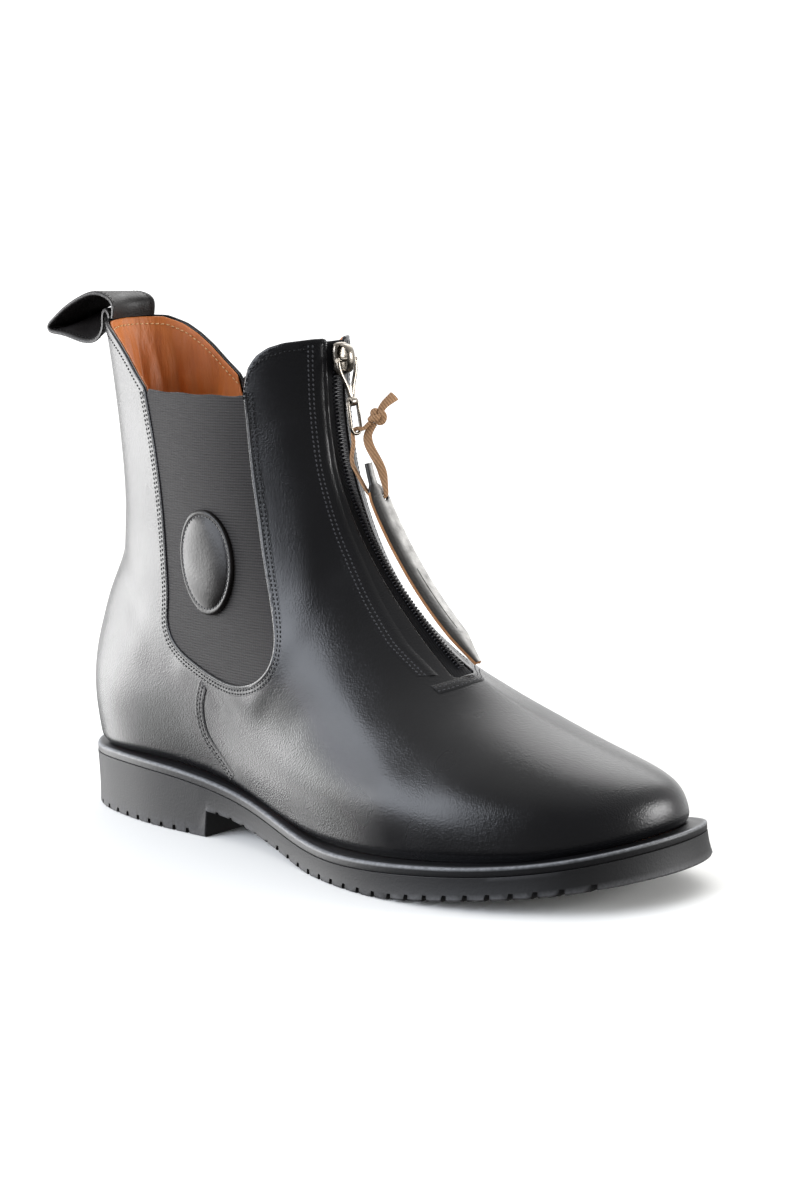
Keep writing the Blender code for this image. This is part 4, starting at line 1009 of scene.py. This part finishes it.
pin = np.array([hang(0, y, 0) for y in np.linspace(-pullLook["pinHalf"], pullLook["pinHalf"], 8)])
lofts = [tubeAlong(pin, pullLook["pin"], pullLook["pin"], 12, (1, 0, 0))]
armWide = np.interp(np.arange(22), [0, 4, 21], [0.75, 0.95, 1.05])
for side in (-1.0, 1.0):
    arm = smoothPath([hang(0, side * y, drop) for y, drop in armPlaces], 22)
    lofts.append(tubeAlong(arm, armWide, pullLook["armThick"], 12))
stem = np.array([hang(0, 0, drop) for drop in np.linspace(10.0, 14.9, 8)])
lofts.append(tubeAlong(stem, np.interp(np.arange(8), [0, 3, 7], [1.4, 2.0, 1.5]), pullLook["stemThick"], 12))
knuckleY = np.linspace(-pullLook["knuckleHalf"], pullLook["knuckleHalf"], 5)
rings = [knuckleRing(1.9 if abs(y) < 1.3 else 1.7, y) for y in knuckleY]
rings += [knuckleRing(pullLook["bore"], -y) for y in knuckleY]  # back through the bore
lofts.append(loft(rings, looped=True))
makePiece("zipPull", *joinLofts(lofts), [nickel], "pull", ["zip_pull"], "nickel")

# Ring: an upright oval of wire in the knuckle
ringLook = {"drop": 16.0, "height": 12.5, "half": 2.6, "wire": 0.66, "corner": 0.9}
ringFoot = ringLook["drop"] + ringLook["height"]
ringHalf = ringLook["half"]
ringPath = [hang(0, ringHalf * math.cos(angle), ringFoot - ringHalf + ringHalf * math.sin(angle))
            for angle in np.linspace(0.0, math.pi, 13)]
for side, shares in ((-1.0, np.linspace(0, 1, 5)), (1.0, np.linspace(1, 0, 5))):
    for angle in 0.5 * math.pi * shares:
        cornerY = ringHalf - ringLook["corner"] + ringLook["corner"] * math.cos(angle)
        cornerDrop = ringLook["drop"] + ringLook["corner"] - ringLook["corner"] * math.sin(angle)
        ringPath.append(hang(0, side * cornerY, cornerDrop))
ringTube = tubeAlong(np.array(ringPath), ringLook["wire"], ringLook["wire"], 12, (1, 0, 0), looped=True)
makePiece("zipRing", *ringTube, [nickel], "ring", ["zip_ring"], "nickel")
print("zip and slider built")

# Strap: flat leather tail with raw tan edges, a hole at its neck and a slit in its lower half
# Columns: z, half-width, sideways shift, stand-off from the boot's front line
strapRows = np.array([
    [148.0, 1.5, 1.9, 7.4], [144.0, 1.6, 1.9, 7.2], [139.5, 1.8, 2.0, 6.9], [137.0, 4.3, 2.8, 6.7],
    [133.0, 5.2, 3.2, 6.5], [120.0, 5.3, 3.2, 6.6], [109.0, 5.3, 3.2, 6.2], [99.0, 5.3, 3.2, 5.4],
    [89.0, 5.2, 3.2, 4.6], [83.0, 5.0, 3.2, 4.2], [75.0, 1.6, 3.4, 2.2],
])
strapLook = {"thick": 2.2, "under": 0.8, "crown": 1.0, "slitTop": 105.0, "slitEnd": 85.0, "slitDeep": 0.9,
             "hole": 1.5, "holeZ": 133.6, "holeY": 5.0, "holeOff": 6.5, "neckRows": 22}
edgeDrops = {1.0: 0.35, 0.96: 0.1}  # the top face is rounded at its edges
ridgeLevels = np.array([upperPoint(level, 1.0, False)[0] for level in np.linspace(0.3, 1.0, 60)])


def ridgeX(z):
    return float(np.interp(z, ridgeLevels[:, 2], ridgeLevels[:, 0]))


def frontLine(z, standOff):
    slope = (ridgeX(z + 1.0) - ridgeX(z - 1.0)) / 2.0
    length = math.hypot(1.0, slope)
    return np.array([ridgeX(z) + standOff / length, z - slope * standOff / length])


strapColumns = np.array((-1.0, -0.96, -0.88, -0.6, -0.3, -0.06, -0.03, 0.03, 0.06, 0.3, 0.6, 0.88, 0.96, 1.0))
strapSections = []
for z in np.concatenate([np.linspace(148.0, 136.0, 24), np.linspace(135.0, 75.0, 64)]):
    halfWide, shift, standOff = readAlong([z], strapRows[::-1, 0], strapRows[::-1, 1:])[0]
    inSlit = strapLook["slitEnd"] < z < strapLook["slitTop"]
    crown = strapLook["crown"] * min(1.0, halfWide / 5.0)
    top, low = [], []
    for column in strapColumns:
        bow = crown * (1.0 - column * column)
        drop = strapLook["slitDeep"] if inSlit and abs(column) < 0.05 else edgeDrops.get(abs(column), 0.0)
        spot = frontLine(z, standOff + strapLook["thick"] + bow - drop)
        top.append((spot[0], shift + column * halfWide, spot[1]))
        spot = frontLine(z, standOff + strapLook["under"] + bow + (0.2 if abs(column) == 1.0 else 0.0))
        low.append((spot[0], shift + column * halfWide, spot[1]))
    strapSections.append(np.array(top + low[::-1]))
width = len(strapColumns)
# the top face and the neck are black, the edges and the back are raw
rowLook = [0 if 1 <= k <= width - 3 else 1 for k in range(2 * width)]
rawRows = len(strapSections) - 1 - strapLook["neckRows"]
strapLooks = [0] * (2 * width * strapLook["neckRows"]) + rowLook * rawRows + [0, 1]
paleShare = np.clip((strapColumns + 0.4) / 0.5, 0.0, 1.0) * 1.5  # painted reflection: pale towards the inner side
strapPaintedReflection = np.tile(np.concatenate([paleShare, np.zeros(width)]), len(strapSections))
pullStrap = makePiece("pullStrap", *loft(strapSections), [strapCalf, rawEdge], "ring", ["pull_strap"],
                      "strap_leather", strapLooks, wearAndSheen=strapPaintedReflection)
holeZ, holeY, holeOff = strapLook["holeZ"], strapLook["holeY"], strapLook["holeOff"]
holeSpot = frontLine(holeZ, holeOff + strapLook["thick"] / 2.0)
strapUp = unit(frontLine(holeZ + 2.0, holeOff) - frontLine(holeZ - 2.0, holeOff))
strapOut = np.array([strapUp[1], -strapUp[0]])


def byStrap(along, outward, y):
    spot = holeSpot + strapUp * along + strapOut * outward
    return np.array([spot[0], y, spot[1]])


holeTurns = np.linspace(0.0, 2.0 * math.pi, 17)[:-1]
holeRings = [[byStrap(strapLook["hole"] * math.cos(angle), reach, holeY + strapLook["hole"] * math.sin(angle))
              for angle in holeTurns] for reach in (-4.0, 5.0)]
carve(pullStrap, *loft(np.array(holeRings)), 50.0)

# Lace: from the knot through the ring's foot, through the strap's hole and back, with one loose end
laceLook = {"places": 110, "knotHalf": (2.8, 3.2, 3.2), "knotSize": 0.85, "knotWide": 1.5, "knotThick": 1.05}
foot = hang(0.0, 0.0, ringFoot)
knot = np.array([foot[0] + 4.8, 6.4, foot[2] + 6.2])


def byKnot(x, y, z, gap):
    way = unit(np.array([x, y, z], float))
    reach = 1.0 / math.sqrt(sum((way[i] / laceLook["knotHalf"][i]) ** 2 for i in range(3))) + gap
    return knot + way * reach


laceStart, laceBack, laceTip = (-0.5, -0.6, -0.62), (-0.3, -0.25, -1.0), (0.18, 0.6, 0.78)
lacePath = smoothPath([
    byKnot(*laceStart, 0.25), byKnot(*laceStart, 1.2),
    foot + np.array([1.5, 1.4, 1.8]), foot + np.array([-0.2, 0.5, 2.0]), foot + np.array([-1.9, -0.1, 0.4]),
    foot + np.array([-1.9, -0.1, -2.6]), byStrap(18.0, -2.9, -0.4), byStrap(9.0, -2.9, 0.4),
    byStrap(3.0, -3.2, 2.8), byStrap(0.4, -2.2, holeY), byStrap(0.0, 0.0, holeY), byStrap(0.4, 2.2, holeY),
    byStrap(3.4, 3.4, 5.2), byStrap(12.0, 4.2, 5.6), byKnot(-0.4, -0.35, -1.0, 4.6), byKnot(*laceBack, -0.4),
], laceLook["places"])
laceShare = np.linspace(0.0, 1.0, laceLook["places"])
laceWide = np.interp(laceShare, [0.0, 0.12, 0.3, 0.5, 0.56, 0.62, 0.7, 0.9, 1.0],
                     [1.3, 1.2, 1.3, 1.4, 1.1, 1.1, 1.7, 1.8, 1.3])
laceThick = np.interp(laceShare, [0.0, 0.45, 0.6, 1.0], [0.8, 0.8, 0.6, 0.6])
laceTurn = np.array([(-0.7, 0.7, 0.0), (-0.7, 0.7, 0.0), (0.0, 1.0, 0.0), (0.72, 0.69, 0.0),
                     (0.72, 0.69, 0.0)])
laceWays = readAlong(laceShare, [0.0, 0.45, 0.58, 0.7, 1.0], laceTurn)
laceTube = tubeAlong(lacePath, laceWide, laceThick, 12, laceWays)
pullLace = makePiece("pullLace", *laceTube, [laceCotton], "ring", ["pull_cord"], "cord_cotton")
knotShare = np.linspace(0.0, 2.0 * math.pi, 97)[:-1]
knotPath = np.stack([np.sin(knotShare) + 2.0 * np.sin(2.0 * knotShare),
                     np.cos(knotShare) - 2.0 * np.cos(2.0 * knotShare),
                     -1.3 * np.sin(3.0 * knotShare)], axis=1)
knotTurn = np.array(Matrix.Rotation(0.6, 3, "Y") @ Matrix.Rotation(0.5, 3, "X"))
knotPath = knot + (knotPath * laceLook["knotSize"]) @ knotTurn.T
knotTube = tubeAlong(knotPath, laceLook["knotWide"], laceLook["knotThick"], 12, (0.0, 0.0, 1.0), looped=True)
laceKnot = makePiece("laceKnot", *knotTube, [laceCotton], "ring", ["cord_knot"], "cord_cotton")
endPath = smoothPath([byKnot(*laceTip, -0.8), byKnot(*laceTip, 1.8), knot + np.array([1.5, 6.2, 6.0]),
                      knot + np.array([1.3, 8.8, 7.0])], 24)
endTube = tubeAlong(endPath, np.linspace(1.3, 2.1, 24), np.linspace(0.8, 0.55, 24), 12, (0.64, 0.45, -0.63))
laceEnd = makePiece("laceEnd", *endTube, [laceCotton], "ring", ["cord_end"], "cord_cotton")

# Pull loop: a strap that rises from the collar's back edge, flops backwards and hangs back to it
# Columns: x, z, share of the back's own curve that it follows across its width, twist as rise at the far edge
loopRows = np.array([
    (23.9, 203.6, 1.0, 0.0), (24.6, 208.2, 1.0, 0.0), (22.4, 211.8, 0.9, -0.6), (14.6, 213.8, 0.7, -1.6),
    (5.0, 211.2, 0.4, -2.0), (-4.2, 206.6, 0.15, -1.0), (-10.6, 202.2, 0.0, 0.0), (-13.4, 200.2, 0.0, 0.0),
    (-13.9, 198.6, 0.0, 0.0), (-11.8, 197.3, 0.0, 2.0), (-6.0, 196.6, 0.05, 6.8), (0.5, 195.2, 0.15, 10.2),
    (6.0, 193.9, 0.3, 12.0), (11.4, 193.8, 0.55, 11.4), (15.4, 195.8, 0.8, 9.6), (17.6, 199.6, 0.95, 6.4),
    (18.0, 203.6, 1.0, 2.0), (19.0, 206.4, 1.0, 0.0), (21.0, 206.5, 1.0, 0.0), (22.2, 203.8, 1.0, 0.0),
])
loopLook = {"half": 11.5, "thick": 1.8, "bow": 0.0255, "seam": 0.86, "seamFace": 0.8, "seamSpare": 6,
            "places": 134}
loopKnots = np.arange(len(loopRows))
loopPath = naturalSpline(loopKnots, loopRows, np.linspace(0.0, len(loopRows) - 1.0, loopLook["places"]))
loopRun = unit(np.gradient(loopPath[:, :2], axis=0))
loopOut = np.stack([loopRun[:, 1], np.zeros(len(loopRun)), -loopRun[:, 0]], axis=1)


def loopLine(across, lift):
    # a line along the strap, across its width from -1 to 1, lift from its middle to a face
    y = across * loopLook["half"]
    x = loopPath[:, 0] + loopPath[:, 2] * loopLook["bow"] * y * y
    z = loopPath[:, 1] + loopPath[:, 3] * (across + 1.0) / 2.0
    return np.stack([x, np.full(len(loopPath), y), z], axis=1) + loopOut * (lift * loopLook["thick"] / 2.0)


# Rounded edges, sunk along the stitch rows
loopEdges = {-1.0: 0.45, -0.97: 0.85, -0.93: 1.0, -0.86: 0.8, -0.79: 1.0, -0.5: 1.0, 0.0: 1.0, 0.5: 1.0,
             0.79: 1.0, 0.86: 0.8, 0.93: 1.0, 0.97: 0.85, 1.0: 0.45}
loopTop = [loopLine(across, lift) for across, lift in loopEdges.items()]
loopLow = [loopLine(across, -lift) for across, lift in loopEdges.items()]
loopForm = loft(np.stack(loopTop + loopLow[::-1], axis=1))
makePiece("pullLoop", *loopForm, [loopCalf], "boot", ["pull_loop"], "black_leather")
sewn = slice(loopLook["seamSpare"], -loopLook["seamSpare"])
loopSeams = []
for across in (-loopLook["seam"], loopLook["seam"]):
    for face in (-1.0, 1.0):
        loopSeams.append((loopLine(across, face * loopLook["seamFace"])[sewn], loopOut[sewn] * face))
loopStitches = stitches(loopSeams, {**seamLook, "pitch": 2.0, "lift": 0.08})
makePiece("loopStitching", *loopStitches, [blackThread], "boot")
print("strap, lace and loop built")

# Sole: moulded outline with its heel, flared toe, cross notches and a strip round the top
soleStations = np.array([
    (0.02, 13.5, 13.8), (0.06, 23.4, 24.0), (0.12, 29.4, 30.6), (0.20, 33.2, 33.0), (0.30, 33.8, 30.6),
    (0.40, 35.0, 28.6), (0.50, 42.0, 31.0), (0.60, 50.4, 40.0), (0.70, 53.2, 48.4), (0.80, 49.0, 49.6),
    (0.88, 39.8, 46.8), (0.94, 28.6, 42.6), (0.98, 12.0, 35.0),
])
soleLook = {"length": soleLength, "tipY": 14.0, "breast": 92.0, "breastRun": 1.6, "flare": 1.6,
            "flareX": 150.0, "flareRun": 120.0, "edge": 0.9, "welt": 3.2, "weltWide": 9.0, "gap": 0.3,
            "groove": 0.15, "notch": 2.4, "waistNotch": 1.2, "notchWide": 2.6, "pitch": 8.0, "stations": 110}
underWelt = -soleLook["welt"] - soleLook["gap"]
evenAlong = np.linspace(0.0, 1.0, soleLook["stations"])
breastX = np.array([soleLook["breast"], soleLook["breast"] + soleLook["breastRun"]])
breastAlong = station(breastX / soleLook["length"])
clear = np.abs(evenAlong[:, None] - breastAlong).min(axis=1) > 0.004  # leaves room for the heel's front face
soleAlong = np.sort(np.concatenate([evenAlong[clear], breastAlong]))
soleX = soleLook["length"] * (1.0 - np.cos(math.pi * soleAlong)) / 2.0
soleSides = [halfLine(soleStations[:, 0], widths, soleLook["tipY"], soleAlong)
             for widths in (-soleStations[:, 1], soleStations[:, 2])]
soleOuter, soleInner = (np.stack([soleX, sideY], axis=1) for sideY in soleSides)
soleLoop = np.concatenate([soleOuter, soleInner[-2:0:-1]])
soleHalf = len(soleAlong) - 1


def insetLoop(distance):
    before = unit(soleLoop - np.roll(soleLoop, 1, axis=0))
    after = unit(np.roll(soleLoop, -1, axis=0) - soleLoop)
    sideBefore = np.stack([-before[:, 1], before[:, 0]], axis=1)
    sideAfter = np.stack([-after[:, 1], after[:, 0]], axis=1)
    middle = unit(sideBefore + sideAfter)
    grow = np.minimum(1.0 / np.maximum((middle * sideBefore).sum(axis=1), 0.4), 2.0)
    return soleLoop + middle * (np.asarray(distance) * grow)[:, None]


def waistZ(x):
    waistX, waistHigh = zip(*waistBottom)
    fine = np.linspace(waistX[0], waistX[-1], 200)
    rough = np.pad(np.interp(fine, waistX, waistHigh), 8, mode="edge")
    # each place takes the mean of 17, which rounds the corners
    smooth = np.convolve(rough, np.ones(17) / 17.0, mode="valid")
    return np.interp(x, fine, np.where(smooth < 0.06, 0.0, smooth))


def topRing(inward, lift):
    flat = insetLoop(np.full(len(soleLoop), inward))
    return np.column_stack([flat, soleTopZ(flat[:, 0]) + lift])


def bottomRing(inward, lift):
    share = np.clip((soleLoop[:, 0] - soleLook["flareX"]) / soleLook["flareRun"], 0.0, 1.0)
    flare = soleLook["flare"] * share
    flat = insetLoop(inward - flare)
    low = np.where(soleLoop[:, 0] <= soleLook["breast"] + 0.01, 0.0, waistZ(soleLoop[:, 0]))
    return np.column_stack([flat, low + lift])


def ladder(first, half):
    # faces across a ring that runs along one side and back along the other
    total = 2 * half
    faces = [(first, first + 1, first + total - 1)]
    for k in range(1, half - 1):
        faces.append((first + k, first + k + 1, first + total - k - 1, first + total - k))
    faces.append((first + half - 1, first + half, first + half + 1))
    return faces


def blendRing(share, hollow):
    low = bottomRing(0.0, soleLook["edge"])
    high = topRing(0.0, underWelt - soleLook["groove"])
    ring = low * (1.0 - share) + high * share
    ring[:, :2] += (insetLoop(np.full(len(soleLoop), hollow)) - soleLoop)
    return ring


inside = soleLook["weltWide"] + soleLook["gap"]
soleRings = [bottomRing(*place) for place in ((0.9, 0.0), (0.3, 0.25), (0.0, soleLook["edge"]))]
soleRings += [blendRing(*place) for place in ((0.25, 0.18), (0.5, 0.25), (0.8, 0.15), (1.0, 0.0))]
soleRings += [topRing(*place) for place in ((0.12, underWelt), (inside, underWelt), (inside, 0.0))]
count = len(soleLoop)
faces = gridFaces(len(soleRings), count)
faces += ladder(0, soleHalf) + ladder((len(soleRings) - 1) * count, soleHalf)
wearAndSheen = np.zeros(len(soleRings) * count)
wearAndSheen[count:3 * count] = 0.7  # rubbed along the bottom edge
outsole = makePiece("outsole_rubber", np.concatenate(soleRings), faces, [soleRubber], "boot", ["outsole"],
                    "sole_rubber", wearAndSheen=wearAndSheen, sharp=35.0)
pitch = soleLook["pitch"]
notchRows = [(x, soleLook["notch"]) for x in np.arange(10.0, soleLook["breast"] - 4.0, pitch)]
notchRows += [(x, soleLook["waistNotch"]) for x in np.arange(soleLook["breast"] + 8.0, 136.0, pitch)]
notchRows += [(x, soleLook["notch"]) for x in np.arange(140.0, 286.0, pitch)]
notchHalf = soleLook["notchWide"] / 2.0
notches = []
for x, deep in notchRows:
    low = 0.0 if x < soleLook["breast"] else float(waistZ(x))
    corners = ((-1.3, low - 5.0), (1.3, low - 5.0), (0.6, low + deep), (-0.6, low + deep))
    ends = [np.array([(x + notchHalf * share, y, z) for share, z in corners]) for y in (-80.0, 80.0)]
    notches.append(loft(ends))
carve(outsole, *joinLofts(notches), 35.0)

# Welt: inset from the sole's outline and lift from the sole's top, up the outside, across and down the inside
weltShape = ((0.2, -soleLook["welt"]), (0.1, -2.8), (0.15, -1.9), (0.1, -1.3), (0.15, -0.6), (0.45, -0.15),
             (1.0, 0.05), (2.2, -0.05), (4.8, -0.2), (6.0, 0.5), (8.2, 0.55), (soleLook["weltWide"], -0.2),
             (soleLook["weltWide"], -soleLook["welt"]))
weltForm = loft([topRing(inward, lift) for inward, lift in weltShape], looped=True)
# pale along the welt's rounded top outer corner: scuffs, plus a painted highlight where the corner catches
# light
wearAndSheen = np.zeros(len(weltShape) * count)
for ring, amount in ((4, 0.5), (5, 1.0), (6, 0.9), (7, 0.2)):
    wearAndSheen[ring * count:(ring + 1) * count] = amount
makePiece("weltStrip", *weltForm, [weltRubber], "boot", ["welt"], "sole_rubber", wearAndSheen=wearAndSheen)
print("sole moulded")

# Insole keeps its solid and takes the lining's leather
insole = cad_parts["insole"]
insole.data.materials.clear()
insole.data.materials.append(lining)
bpy.context.view_layer.update()
low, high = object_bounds()
growth = list(cadLow - low) + list(high - cadHigh)
print("box grows by", [round(float(side) * mmInMetre, 2) for side in growth], "mm")
